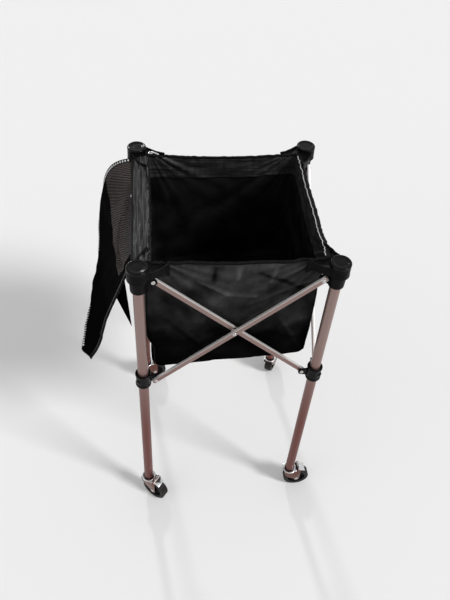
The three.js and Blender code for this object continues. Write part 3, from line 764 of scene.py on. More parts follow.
def knitted(tree, bsdf):
    """Ribbed mesh of the lid: pale ribs across, dark open gaps, and painted shade in its crease where the cloth lies
    double, near the hinge above the fold and over its lower part.
    """
    tone = colours()
    place = place_of(tree, "UV")
    x, y, _ = split(tree, place)
    slanted = maths(tree, "ADD", x, times(tree, y, 0.65))
    along = maths(tree, "ADD", slanted, times(tree, noisy(tree, place, 16.0, 2.0), 0.006))
    rib = spread(tree, wave(tree, along, 0.0076), -0.45, 0.35)
    cover = times(tree, rib, spread(tree, wave(tree, y, 0.0021), -0.8, 0.4, 0.45, 1.0))
    blotch = spread(tree, noisy(tree, place, 24.0, 5.0), 0.35, 0.7)
    yarn = mix(tree, blotch, tone.mesh, tinted(tone.mesh, 1.5))
    # Painted shade on the yarn in the crease, near the hinge and low down
    dark = mix(tree, painted_shading(tree), yarn, tinted(tone.mesh, 0.22))
    feed(tree, bsdf.inputs["Base Color"], mix(tree, cover, tone.gap, dark))
    feed(tree, bsdf.inputs["Alpha"], spread(tree, cover, 0.0, 0.5, 0.90, 1.0))
    textured(tree, bsdf, cover, (0.0, 1.0, 0.80, 0.55), cover, (0.6, 0.0006), 0.12)


def ground(tree, bsdf):
    """Pale floor that keeps the object's soft shadow."""
    speck = spread(tree, noisy(tree, place_of(tree), 3.0, 2.0), 0.3, 0.7, 0.0, 0.02)
    feed(tree, bsdf.inputs["Base Color"], mix(tree, speck, colours().backdrop, (0.8, 0.8, 0.8)))
    bsdf.inputs["Roughness"].default_value = 0.9
    bsdf.inputs["Specular IOR Level"].default_value = 0.0


FINISHES = {maker.__name__: maker for maker in (anodised, moulded, glazed, polished, plated, riveted, tread,
                                                toothed, woven, bordered, satin, gathered, knitted, ground)}


def finish(name):
    """A finish's material, built when it is first asked for."""
    label = f"{name} finish"
    made = bpy.data.materials.get(label)
    if made is None:
        made = bpy.data.materials.new(label)
        made.use_nodes = True
        FINISHES[name](made.node_tree, made.node_tree.nodes["Principled BSDF"])
    return made


def frame_sizes():
    """The frame's sizes."""
    return bpy.context.scene.hopper_frame


def caster_sizes():
    """The casters' sizes."""
    return bpy.context.scene.hopper_casters


def bag_sizes():
    """The bag's sizes."""
    return bpy.context.scene.hopper_bag


# Legs and fittings

def dome(radius, base, height, steps=5):
    """Profile of a rivet head, from its rim up to the axis."""
    return [(radius * math.cos(turn), base + height * math.sin(turn))
            for turn in (QUARTER * i / steps for i in range(steps + 1))]


def rivet(mesh, near, far, place):
    """A rivet along +Y with a domed head at each end, under the head at near and at far."""
    sizes = frame_sizes()
    head, pin = sizes.pin_head, sizes.pin_radius
    lower = [(radius, 2 * near - height) for radius, height in reversed(dome(head, near, 1.6 * MM))]
    profile = lower + [(pin, near), (pin, far)] + dome(head, far, 1.6 * MM)
    turned(mesh, profile, 28, place @ Matrix.Rotation(-QUARTER, 4, "X"))


def ear(mesh, height, rise, drop, place):
    """A plate that stands out from a collar and ends round about the pivot."""
    sizes = frame_sizes()
    radius = sizes.ear_radius
    root = TUBE_RADIUS + 1.5 * MM
    outline = arc((INSET, height), radius, -QUARTER, QUARTER, 18)
    outline += [(root, height + rise), (root, height - drop)]
    plate(mesh, outline, sizes.ear_thickness, place, edge=0.7 * MM)
    boss = sizes.pin_head + 1.6 * MM
    for face in (-1, 1):
        spot = place @ Matrix.Translation((INSET, face * sizes.ear_thickness / 2, height))
        turned(mesh, [(boss, 0), (boss - 0.2 * MM, 0.25 * MM), (0, 0.25 * MM)], 32,
               spot @ Matrix.Rotation(-face * QUARTER, 4, "X"))


def ear_rivets(mesh, height, side):
    """The rivets of a fitting's two ears, each through an ear and the link beside it."""
    sizes = frame_sizes()
    near = -sizes.ear_thickness / 2 - 0.3 * MM
    far = sizes.ear_thickness / 2 + sizes.link_thickness + 0.7 * MM
    for turn in (0, QUARTER):
        spot = Matrix.Rotation(turn, 4, "Z") @ Matrix.Translation((INSET, 0, height))
        if side < 0:
            spot = spot @ Matrix.Rotation(math.pi, 4, "X")
        rivet(mesh, near, far, spot)


def gussets(mesh, height, reach, rise):
    """Moulded ribs that run down a fitting below its ears."""
    for turn in (0, QUARTER):
        spot = Matrix.Rotation(turn, 4, "Z") @ Matrix.Translation((TUBE_RADIUS + reach / 2, 0, height))
        bar(mesh, (reach, 2.4 * MM, rise), spot, edge=0.6 * MM)


class LegTubes(bpy.types.Operator):
    """Four round tubes that stand on the casters"""
    bl_idname = "hopper.leg_tubes"
    bl_label = "Leg tubes"

    def execute(self, context):
        sizes = frame_sizes()
        low, high, lip = TUBE_LOW.z, TUBE_HIGH.z, 0.4 * MM
        bore = TUBE_RADIUS - sizes.tube_wall
        rings = [(TUBE_RADIUS, low + (high - low) * share) for share in (0.01, 0.2, 0.4, 0.6, 0.8, 0.99)]
        profile = [(bore, low), (TUBE_RADIUS - lip, low), (TUBE_RADIUS, low + lip), *rings,
                   (TUBE_RADIUS, high - lip), (TUBE_RADIUS - lip, high), (bore, high), (bore, low)]
        for corner in CORNERS:
            mesh = bmesh.new()
            turned(mesh, profile, sizes.steps)
            at_corner(mesh, corner, "tube", "anodised", "leg", "leg_tube", "tube")
        return {"FINISHED"}


class Caps(bpy.types.Operator):
    """Glossy dished caps pressed into the leg tops"""
    bl_idname = "hopper.caps"
    bl_label = "Caps"

    def execute(self, context):
        sizes = frame_sizes()
        low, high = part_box("top_cap_fl")
        radius, round_edge, dish = (high.x - low.x) / 2, sizes.cap_round, sizes.cap_dish
        seat = TUBE_HIGH.z + 0.3 * MM
        plug = TUBE_RADIUS - sizes.tube_wall - 0.3 * MM
        profile = [(0, low.z), (plug - 1 * MM, low.z), (plug, low.z + 1 * MM), (plug, seat)]
        profile += arc((radius - 1.2 * MM, seat + 1.2 * MM), 1.2 * MM, -QUARTER, 0, 5)
        profile += arc((radius - round_edge, TOP - round_edge), round_edge, 0, QUARTER, 9)
        lip = radius - round_edge - 2.3 * MM
        brim = ((0, 0), (0.5, 0.16), (1.1, 0.55), (1.8, 1.15))
        profile += [(lip - inward * MM, TOP - drop * MM) for inward, drop in brim]
        profile += [(lip - 2.6 * MM, TOP - 0.9 * dish), (lip - 3.6 * MM, TOP - dish)]
        floor = ((0.62, 0.98), (0.4, 0.92), (0.2, 0.87), (0, 0.85))
        profile += [(share * lip, TOP - depth * dish) for share, depth in floor]
        for corner in CORNERS:
            mesh = bmesh.new()
            turned(mesh, profile, sizes.steps)
            at_corner(mesh, corner, "cap", "polished", "leg", "top_cap", "gloss")
        return {"FINISHED"}


class Brackets(bpy.types.Operator):
    """Brackets moulded round the leg tops, each with two riveted ears"""
    bl_idname = "hopper.brackets"
    bl_label = "Top brackets"

    def execute(self, context):
        sizes = frame_sizes()
        foot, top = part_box("top_bracket_fl")[0].z, TUBE_HIGH.z
        neck = 21 * MM
        shoulder = UPPER + sizes.bracket_shoulder
        bore = TUBE_RADIUS + 0.3 * MM
        lip = sizes.bracket_foot
        profile = [(bore, foot)] + arc((lip - 1.2 * MM, foot + 1.2 * MM), 1.2 * MM, -QUARTER, 0, 4)
        profile += [(lip + 0.9 * MM, shoulder - 3 * MM), (lip + 1.5 * MM, shoulder - 1.2 * MM),
                    (neck - 0.6 * MM, shoulder + 0.4 * MM), (neck, shoulder + 1.8 * MM)]
        profile += arc((neck - 1 * MM, top - 1 * MM), 1 * MM, 0, QUARTER, 4) + [(bore, top), (bore, foot)]
        for corner in CORNERS:
            mesh = bmesh.new()
            turned(mesh, profile, sizes.steps)
            for turn in (0, QUARTER):
                ear(mesh, UPPER, 11 * MM, 16 * MM, Matrix.Rotation(turn, 4, "Z"))
            gussets(mesh, UPPER - 13 * MM, 9 * MM, 9 * MM)
            at_corner(mesh, corner, "bracket", "moulded", "leg", "top_bracket", "moulded")
            mesh = bmesh.new()
            ear_rivets(mesh, UPPER, 1)
            at_corner(mesh, corner, "bracket_rivets", "riveted", "leg", "top_bracket", "rivet")
        return {"FINISHED"}


class Sliders(bpy.types.Operator):
    """Collars that run on the legs, each with two riveted ears and a lock button"""
    bl_idname = "hopper.sliders"
    bl_label = "Sliders and buttons"

    def execute(self, context):
        sizes = frame_sizes()
        low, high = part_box("slider_fl")
        foot, top = low.z, high.z
        rim = 19 * MM
        neck = rim - sizes.slider_waist
        bore = TUBE_RADIUS + 0.35 * MM
        flange = sizes.slider_flange
        profile = [(bore, foot)] + arc((rim - 1.4 * MM, foot + 1.4 * MM), 1.4 * MM, -QUARTER, 0, 5)
        profile += arc((rim - 0.8 * MM, foot + flange - 0.8 * MM), 0.8 * MM, 0, QUARTER, 3)
        profile += [(neck, foot + flange + 0.6 * MM), (neck, top - flange - 0.6 * MM)]
        profile += arc((rim - 0.8 * MM, top - flange + 0.8 * MM), 0.8 * MM, -QUARTER, 0, 3)
        profile += arc((rim - 2 * MM, top - 2 * MM), 2 * MM, 0, 0.9 * QUARTER, 5)
        profile += [(bore + 2.4 * MM, top - 0.1 * MM), (bore + 1.6 * MM, top - 0.4 * MM), (bore, top - 1.5 * MM),
                    (bore, foot)]
        for corner in CORNERS:
            mesh = bmesh.new()
            turned(mesh, profile, sizes.steps)
            for turn in (0, QUARTER):
                ear(mesh, LOWER, 13 * MM, 13 * MM, Matrix.Rotation(turn, 4, "Z"))
            out = Matrix.Rotation(QUARTER + QUARTER / 2, 4, "Z") @ Matrix.Translation((0, neck - 0.2 * MM, LOWER))
            turned(mesh, [(5 * MM, 0), (6.6 * MM, 0), (6.3 * MM, 0.7 * MM), (5.3 * MM, 0.8 * MM), (5 * MM, 0.5 * MM),
                          (5 * MM, 0)], 28, out @ Matrix.Rotation(-QUARTER, 4, "X"))
            at_corner(mesh, corner, "slider_body", "glazed", "slider", "slider", "moulded")
            mesh = bmesh.new()
            ear_rivets(mesh, LOWER, -1)
            at_corner(mesh, corner, "slider_rivets", "riveted", "slider", "slider", "rivet")
            mesh = bmesh.new()
            face = neck + 2.6 * MM
            head = [(0, face - 5 * MM), (4.4 * MM, face - 5 * MM), (4.4 * MM, face - 0.9 * MM),
                    (4.1 * MM, face - 0.4 * MM), (3.4 * MM, face - 0.1 * MM), (0, face)]
            spot = Matrix.Rotation(QUARTER + QUARTER / 2, 4, "Z") @ Matrix.Translation((0, 0, LOWER))
            turned(mesh, head, 28, spot @ Matrix.Rotation(-QUARTER, 4, "X"))
            at_corner(mesh, corner, "button_cap", "polished", "button", "lock_button", "gloss")
        return {"FINISHED"}


def section(thickness, height, radius, cut, steps=3):
    """Outline of a rounded rectangle in Y and Z, with a point at each side where the ends are cut."""
    half_y, half_z = thickness / 2, height / 2
    points = []
    for turn, (y, z) in enumerate(((1, 1), (-1, 1), (-1, -1), (1, -1))):
        centre = (y * (half_y - radius), z * (half_z - radius))
        ring = arc(centre, radius, turn * QUARTER, (turn + 1) * QUARTER, steps)
        side = (y * half_y, z * (half_z - cut))
        points += [side] + ring if turn in (0, 2) else ring + [side]
    return points


def hollow_bar(mesh, length, sizes):
    """A rectangular tube along X whose four end corners are cut off."""
    cut, wall = sizes.link_bevel, sizes.link_wall
    outer = section(sizes.link_thickness, sizes.link_height, 1.4 * MM, cut)
    inner = section(sizes.link_thickness - 2 * wall, sizes.link_height - 2 * wall, 0.6 * MM, cut - wall)

    def loop(outline, end):
        reach = [length / 2 - max(0, abs(z) - (sizes.link_height / 2 - cut)) for _, z in outline]
        verts = [mesh.verts.new((end * x, y, z)) for x, (y, z) in zip(reach, outline)]
        return [mesh.edges.new((verts[i - 1], verts[i])) for i in range(len(verts))]

    loops = {(outline is outer, end): loop(outline, end) for outline in (outer, inner) for end in (-1, 1)}
    pairs = (((True, -1), (True, 1)), ((False, -1), (False, 1)), ((True, -1), (False, -1)), ((True, 1), (False, 1)))
    for first, second in pairs:
        bmesh.ops.bridge_loops(mesh, edges=loops[first] + loops[second])
    for share in (-0.97, -0.5, 0, 0.5, 0.97):
        parts = [*mesh.verts, *mesh.edges, *mesh.faces]
        bmesh.ops.bisect_plane(mesh, geom=parts, plane_co=(share * length / 2, 0, 0), plane_no=(1, 0, 0))


class Links(bpy.types.Operator):
    """Scissor links of rectangular tube, two on each side, with their centre rivets"""
    bl_idname = "hopper.links"
    bl_label = "Scissor links"

    def execute(self, context):
        sizes = frame_sizes()
        length = LINK_LENGTH + 2 * sizes.link_end
        offset = sizes.ear_thickness / 2 + 0.4 * MM + sizes.link_thickness / 2
        for side in SIDES:
            for kind, way in (("inner", 1), ("outer", -1)):
                mesh = bmesh.new()
                hollow_bar(mesh, length, sizes)
                spot = Matrix.Translation((0, way * offset - HALF, CENTRE_Z)) @ \
                    Matrix.Rotation(way * LINK_SLOPE, 4, "Y")
                finished(mesh, f"{kind}_bar_{side}", "anodised", f"{kind}_{side}",
                         [f"{kind}_link_{side}"], "tube", side_place(side) @ spot)
            mesh = bmesh.new()
            reach = sizes.ear_thickness / 2 + sizes.link_thickness + 0.7 * MM
            spot = Matrix.Translation((0, -HALF, CENTRE_Z))
            rivet(mesh, -reach, reach, spot)
            thick = sizes.ear_thickness / 2 + 0.1 * MM
            washer = [(sizes.pin_radius, -thick), (sizes.washer_radius - 0.4 * MM, -thick),
                      (sizes.washer_radius, 0.4 * MM - thick), (sizes.washer_radius, thick - 0.4 * MM),
                      (sizes.washer_radius - 0.4 * MM, thick), (sizes.pin_radius, thick)]
            turned(mesh, washer, 32, spot @ Matrix.Rotation(QUARTER, 4, "X"))
            finished(mesh, f"rivet_{side}", "riveted", f"inner_{side}",
                     [f"centre_rivet_{side}"], "rivet", side_place(side))
        return {"FINISHED"}


# Casters. In a caster's own frame the swivel axis is Z and it trails towards +X.

WHEEL_RADIUS = pivot("roll_fl").z
TRAIL = math.hypot(*(pivot("roll_fl") - pivot("swivel_fl")).xy)
PEDAL = Vector((math.hypot(pivot("brake_fl").x - LEG_AXES["fl"].x, pivot("brake_fl").y - LEG_AXES["fl"].y),
                0, pivot("brake_fl").z))
HOOD_GAP = 1.6 * MM
HOOD_BASE = 2 * WHEEL_RADIUS + HOOD_GAP


class CasterSockets(bpy.types.Operator):
    """Flanged plugs that hold the casters in the leg tubes"""
    bl_idname = "hopper.caster_sockets"
    bl_label = "Caster sockets"

    def execute(self, context):
        sizes = caster_sizes()
        low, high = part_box("caster_socket_fl")
        plug = TUBE_RADIUS - frame_sizes().tube_wall - 0.3 * MM
        flange_top = SWIVEL_Z - 0.3 * MM
        flange_base = flange_top - 2.5 * MM
        rim = sizes.socket_radius
        head, king = 8 * MM, 4.6 * MM
        profile = [(0, low.z), (head - 1 * MM, low.z), (head, low.z + 1 * MM), (head, HOOD_BASE - 0.3 * MM),
                   (king, HOOD_BASE - 0.3 * MM), (king, flange_base), (rim - 0.6 * MM, flange_base)]
        profile += arc((rim - 0.6 * MM, flange_base + 0.6 * MM), 0.6 * MM, -QUARTER, 0, 3)
        profile += arc((rim - 0.8 * MM, flange_top - 0.8 * MM), 0.8 * MM, 0, QUARTER, 3)
        profile += [(plug, flange_top), (plug, high.z - 1 * MM), (plug - 1 * MM, high.z), (0, high.z)]
        for corner in CORNERS:
            mesh = bmesh.new()
            turned(mesh, profile, frame_sizes().steps)
            at_corner(mesh, corner, "socket", "moulded", "leg", "caster_socket", "moulded", caster_place)
        return {"FINISHED"}


def cheek_outline():
    """Outline of a fork's cheek in X and Z."""
    front, foot, lug = -17 * MM, 9 * MM, 5 * MM
    top, base = HOOD_BASE + 2.2 * MM, WHEEL_RADIUS
    start, bend, end = Vector((front, top)), Vector((front, base + 17 * MM)), Vector((TRAIL - foot, base))
    curve = [start.lerp(bend, t).lerp(bend.lerp(end, t), t) for t in (i / 12 for i in range(12))]
    outline = [tuple(point) for point in curve]
    outline += arc((TRAIL, base), foot, math.pi, FULL, 20)
    outline += [(PEDAL.x + lug, HOOD_BASE - 2.2 * MM)]
    outline += arc((PEDAL.x, PEDAL.z), lug, 0, math.pi, 14)
    return outline + [(PEDAL.x - lug, top)]


class Forks(bpy.types.Operator):
    """Swivel forks of pressed steel, with the raceway and the axle"""
    bl_idname = "hopper.forks"
    bl_label = "Caster forks"

    def execute(self, context):
        sizes = caster_sizes()
        inside = sizes.wheel_width / 2 + sizes.cheek_gap
        thick = sizes.cheek
        outside = inside + thick
        back = 21 * MM
        race, race_top = sizes.race_radius, SWIVEL_Z - 3.1 * MM
        ring = [(4.9 * MM, HOOD_BASE), (race - 0.8 * MM, HOOD_BASE + 0.4 * MM), (race, HOOD_BASE + 1.3 * MM),
                (race, HOOD_BASE + 1.9 * MM), (race - 0.9 * MM, HOOD_BASE + 2.35 * MM),
                (race - 0.9 * MM, HOOD_BASE + 2.6 * MM), (race - 0.1 * MM, HOOD_BASE + 3 * MM),
                (race - 0.5 * MM, race_top - 0.6 * MM), (race - 1.4 * MM, race_top - 0.1 * MM),
                (race - 3.4 * MM, race_top), (race - 4.6 * MM, race_top - 0.5 * MM),
                (race - 6.4 * MM, race_top - 0.3 * MM), (4.9 * MM, race_top - 0.3 * MM), (4.9 * MM, HOOD_BASE)]
        for corner in CORNERS:
            mesh = bmesh.new()
            for way in (-1, 1):
                plate(mesh, cheek_outline(), thick, Matrix.Translation((0, way * (inside + thick / 2), 0)),
                      edge=0.5 * MM)
            bar(mesh, (back + 17 * MM, 2 * outside - 0.6 * MM, thick),
                Matrix.Translation(((back - 17 * MM) / 2, 0, HOOD_BASE + thick / 2 + 0.05 * MM)), edge=0.6 * MM)
            turned(mesh, ring, sizes.steps)
            at_corner(mesh, corner, "fork", "plated", "caster", "caster_fork", "zinc", caster_place)
            mesh = bmesh.new()
            head = sizes.axle_head
            spot = Matrix.Translation((TRAIL, 0, WHEEL_RADIUS)) @ Matrix.Rotation(-QUARTER, 4, "X")
            turned(mesh, [(0, -outside - 1.5 * MM), (head - 0.7 * MM, -outside - 1.4 * MM),
                          (head, -outside - 0.7 * MM), (head, 0.2 * MM - outside), (4 * MM, 0.2 * MM - outside),
                          (4 * MM, outside - 0.2 * MM)], 32, spot)
            turned(mesh, [(4 * MM, outside - 0.2 * MM), (head, outside - 0.2 * MM), (head, outside + 1.1 * MM),
                          (head - 0.6 * MM, outside + 1.5 * MM), (2.4 * MM, outside + 1.5 * MM),
                          (2.2 * MM, outside + 1.3 * MM), (0, outside + 1.35 * MM)], 6, spot)
            at_corner(mesh, corner, "axle", "riveted", "caster", "caster_fork", "zinc", caster_place)
        return {"FINISHED"}


class Wheels(bpy.types.Operator):
    """Wheels with a moulded core and a ribbed tyre"""
    bl_idname = "hopper.wheels"
    bl_label = "Wheels"

    def execute(self, context):
        sizes = caster_sizes()
        edge, web, hub = sizes.wheel_width / 2, 6 * MM, sizes.hub_radius
        bore, rim, radius, cut = 4.3 * MM, sizes.rim_radius, WHEEL_RADIUS, sizes.groove
        side = [(bore, edge + 0.9 * MM), (hub - 0.8 * MM, edge + 0.9 * MM), (hub, edge + 0.2 * MM),
                (hub + 0.8 * MM, web + 0.8 * MM), (hub + 1.8 * MM, web), (rim - 3 * MM, web),
                (rim - 1.6 * MM, web + 1.2 * MM), (rim - 0.6 * MM, edge - 1.2 * MM), (rim, edge - 1 * MM)]
        core = [(r, -y) for r, y in side] + [(r, y) for r, y in reversed(side)] + [(bore, -edge - 0.9 * MM)]
        half = [(rim - 0.4 * MM, edge - 0.9 * MM), (rim + 1.5 * MM, edge - 0.1 * MM), (rim + 3.5 * MM, edge),
                (radius - 3.2 * MM, edge), (radius - 1.5 * MM, edge - 0.5 * MM), (radius - 0.4 * MM, edge - 1.6 * MM),
                (radius, edge - 3 * MM)]
        ribs = []
        for y in (6.4, 2.2):
            ribs += [(radius, (y + 0.9) * MM), (radius - cut, (y + 0.5) * MM), (radius - cut, (y - 0.5) * MM),
                     (radius, (y - 0.9) * MM)]
        upper = half + ribs
        tyre = [(r, -y) for r, y in upper] + [(r, y) for r, y in reversed(upper)]
        tyre.append(tyre[0])
        for corner in CORNERS:
            spot = Matrix.Translation((TRAIL, 0, radius)) @ Matrix.Rotation(QUARTER, 4, "X")
            mesh = bmesh.new()
            turned(mesh, core, sizes.steps, spot)
            at_corner(mesh, corner, "wheel_core", "moulded", "wheel", "caster_wheel", "rubber", caster_place)
            mesh = bmesh.new()
            turned(mesh, tyre, sizes.steps, spot)
            at_corner(mesh, corner, "tyre", "tread", "wheel", "caster_wheel", "rubber", caster_place)
        return {"FINISHED"}


class Pedals(bpy.types.Operator):
    """Brake pedals, each a toe plate and a curved shoe on one barrel"""
    bl_idname = "hopper.pedals"
    bl_label = "Brake pedals"

    def execute(self, context):
        sizes = caster_sizes()
        inner, thick = WHEEL_RADIUS + 5 * MM, 2 * MM
        start = math.atan2(PEDAL.z - WHEEL_RADIUS, PEDAL.x - TRAIL)
        end = start - math.pi / 7
        width = sizes.wheel_width + 2 * sizes.cheek_gap - 0.8 * MM
        shoe = arc((TRAIL, WHEEL_RADIUS), inner, start, end, 14)
        shoe += arc((TRAIL, WHEEL_RADIUS), inner + thick, end, start, 14)
        rise = 13 * MM
        for corner in CORNERS:
            mesh = bmesh.new()
            plate(mesh, shoe, width, edge=0.4 * MM)
            toe = [(-6 * MM, 1 * MM), (6 * MM, 1 * MM), (6.6 * MM, 5 * MM), (6.6 * MM, rise - 3 * MM)]
            toe += arc((4.6 * MM, rise - 2.2 * MM), 2 * MM, 0, QUARTER, 5)
            toe += arc((-4.6 * MM, rise - 2.2 * MM), 2 * MM, QUARTER, math.pi, 5)
            toe += [(-6.6 * MM, 5 * MM)]
            lean = Matrix.Translation((PEDAL.x, 0, PEDAL.z)) @ Matrix.Rotation(QUARTER, 4, "Z") @ \
                Matrix.Rotation(math.radians(-4), 4, "X")
            plate(mesh, toe, thick, lean, edge=0.5 * MM)
            for height in (5, 7.5, 10):
                bar(mesh, (10 * MM, 0.8 * MM, 0.9 * MM),
                    lean @ Matrix.Translation((0, -thick / 2, height * MM)), edge=0.25 * MM)
            spot = Matrix.Translation(PEDAL) @ Matrix.Rotation(QUARTER, 4, "X")
            turned(mesh, [(0, -width / 2), (2.8 * MM, -width / 2), (3.2 * MM, 0.4 * MM - width / 2),
                          (3.2 * MM, width / 2 - 0.4 * MM), (2.8 * MM, width / 2), (0, width / 2)], 28, spot)
            reach = sizes.wheel_width / 2 + sizes.cheek_gap + sizes.cheek
            turned(mesh, [(0, -reach), (1.8 * MM, -reach), (2 * MM, 0.2 * MM - reach), (2 * MM, reach - 0.2 * MM),
                          (1.8 * MM, reach), (0, reach)], 20, spot)
            at_corner(mesh, corner, "pedal_body", "plated", "pedal", "brake_pedal", "zinc", caster_place)
        return {"FINISHED"}


# Bag

WALL_LOW, WALL_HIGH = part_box("bag_wall_front")
BAG_HALF = (WALL_HIGH.x - WALL_LOW.x) / 2
RIM_TOP, BAG_BASE = WALL_HIGH.z, WALL_LOW.z

# Share of a side's height where it starts to turn into the floor
HEM_START = 0.94

# How far the folds may stand out of a side and sink into it
OUT_LIMIT, IN_LIMIT = 6 * MM, 14 * MM

# How far the middle of each rim hangs below its corners, and how far it bows inwards
DIPS = {"front": 12 * MM, "right": 9 * MM, "back": 5 * MM, "left": 11 * MM}
SAGS = {"front": 7 * MM, "right": 2 * MM, "back": 5 * MM, "left": 7 * MM}

# The body that each side rides on, the corner it would gather to in the fold, and the axis along which it would
# gather; only the body is used
HOLDERS = {"front": ("leg_fl", "fl", (1, 0, 0)), "right": ("leg_fr", "fr", (0, 1, 0)),
           "back": ("leg_bl", "bl", (1, 0, 0)), "left": ("leg_fl", "fl", (0, 1, 0))}

# Width, height and place outwards of each rim's binding, in millimetres
BINDINGS = {"front": (6, 6.5, 0.5), "right": (13, 7, 4), "back": (8, 7, 2), "left": (7, 6, 1)}

# Creases of the front, from one point to another, as x and depth in millimetres, and their share of the height
CREASES = ((-88, 50, -20, 92, 1.0), (-20, 92, 45, 104, 0.8), (48, 34, 150, 88, -0.9), (-150, 70, -70, 165, 0.7),
           (30, 128, 165, 66, 0.7), (-46, 12, -52, 52, -1.0), (4, 10, 2, 44, 0.9), (84, 14, 78, 58, 0.8),
           (-168, 150, -60, 290, -0.6), (110, 180, 168, 292, 0.7))


def creases(x, depth):
    """Height of the creases at a point of the front."""
    total = 0.0
    for x1, depth1, x2, depth2, height in CREASES:
        start, way = Vector((x1, depth1)) * MM, Vector((x2 - x1, depth2 - depth1)) * MM
        share = (Vector((x, depth)) - start).dot(way) / way.length_squared
        near = start + way * min(1, max(0, share))
        total += height * bump((Vector((x, depth)) - near).length, 0, 5.5 * MM) * (1 - bump(share, -0.2, 0.3))
    return total


def relief(side, across, down):
    """Height of the folds at a place of the bag's cloth, outwards."""
    sizes = bag_sizes()
    seed = SIDES.index(side) * 3.1 + 1
    x, depth = (2 * across - 1) * BAG_HALF, down * (RIM_TOP - BAG_BASE)
    pull = 0.0
    for end in (-1, 1):
        aside, below = abs(x - end * BAG_HALF), depth + 18 * MM
        ray = math.atan2(below, aside)
        pull += noise.noise(Vector((7 * ray, seed + end, 0))) * math.exp(-math.hypot(aside, below) / 0.13)
    soft = 0.85 * crumple((x, 1.5 * depth, 0), 0.085, seed) + 0.55 * crumple((x, 0.8 * depth, 0), 0.034, seed + 5)
    soft += 0.16 * crumple((x, depth, 0), 0.013, seed + 8)
    gather = crumple((x, 0.25 * depth, 0), 0.010, seed) * math.exp(-depth / 0.036)
    height = sizes.wrinkle * (soft * min(1, 0.3 + 2 * down) + 1.9 * pull) + 1.8 * MM * gather
    if side == "front":
        height += sizes.crease * creases(x, depth)
    return height


def swelling(point):
    """How the front left edge hangs out towards its leg, below the bracket."""
    aside = point.xy - Vector((SQUARE.x - BAG_HALF, SQUARE.y - BAG_HALF))
    share = bump(aside.length, 0, 34 * MM) * step(point.z, 0.63, 0.70) * step(point.z, 0.87, 0.83)
    return Vector((-1, -0.4, 0)) * (bag_sizes().swell * share)


def shell(side, across, down, inset=0.0):
    """A point of the bag's cloth and the way out from it; down runs from the rim to the floor's edge."""
    sizes = bag_sizes()
    along = 2 * across - 1
    curl = QUARTER * max(0.0, down - HEM_START) / (1 - HEM_START)
    tuck = sizes.hem_curve * (1 - math.cos(curl))
    reach = BAG_HALF - inset - sizes.taper * down ** 0.8 - sizes.waist * bump(down, 0.26, 0.13) - tuck
    bend = 6 * MM + 20 * MM * down ** 0.4 - tuck
    run = along * (reach - bend * (1 - math.pi / 4))
    turn = max(0.0, abs(run) - (reach - bend)) / bend
    x = math.copysign(min(abs(run), reach - bend) + bend * math.sin(turn), along)
    y = bend * (1 - math.cos(turn)) - reach
    out = Vector((math.copysign(math.sin(turn), along), -math.cos(turn), 0))
    y += SAGS[side] * (1 - along * along) * (1 - down) ** 2
    place = side_place(side)
    base = BAG_BASE + 1 * MM + 0.1 * ((place @ Vector((x, y, 0))).x - SQUARE.x)
    top = RIM_TOP - DIPS[side] * (1 - along * along)
    fall = min(down / HEM_START, 1)
    z = top + (base + sizes.hem_curve - top) * fall - sizes.hem_curve * math.sin(curl)
    swell = relief(side, across, down) + 3 * MM * (1 - along * along) * math.sin(math.pi * down)
    limit = OUT_LIMIT if swell > 0 else IN_LIMIT
    swell = limit * math.tanh(swell / limit)
    point = place @ (Vector((x, y, z)) + out * (swell * (1 - along ** 6) * math.cos(curl)))
    return point + swelling(point), place.to_3x3() @ out


def crumpled_with_fold(piece):
    """Give a piece its own copy of its mesh."""
    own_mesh(piece)


def roll(name, path, size, columns, look, body, nodes=(), slot="nylon", rounds=12, upright=True):
    """A closed soft tube along path(across), which gives a point and the way out; size is (wide, tall)."""
    def place(across, down):
        point, out = path(across)
        turn = down * FULL
        ahead = path(min(1, across + 0.01))[0] - path(max(0, across - 0.01))[0]
        tall = Vector((0, 0, 1)) if upright else out.cross(ahead).normalized()
        return point + out * (size[0] / 2 * math.cos(turn)) + tall * (size[1] / 2 * math.sin(turn))
    long = sum((path((i + 1) / 20)[0] - path(i / 20)[0]).length for i in range(20))
    return cloth(name, columns, rounds, (long, 1.6 * sum(size)), place, 0, look, body, nodes, slot,
                 closed=True, capped=True)


def tooth_row(name, path, long, body, pitch, look="toothed", size=(2.4 * MM, 1.2 * MM)):
    """A row of zip teeth along path(across), which gives a point and the way out."""
    count = int(long / pitch)
    mesh = bmesh.new()
    for i in range(count):
        point, out = path((i + 0.5) / count)
        ahead = (path((i + 0.7) / count)[0] - path((i + 0.3) / count)[0]).normalized()
        side = out.cross(ahead).normalized()
        turn = Matrix((ahead, side.cross(ahead), side)).transposed().to_4x4()
        block = Matrix.Diagonal((0.55 * pitch, *size, 1))
        bmesh.ops.create_cube(mesh, size=1, matrix=Matrix.Translation(point) @ turn @ block)
    return finished(mesh, name, look, body, slot="nylon")


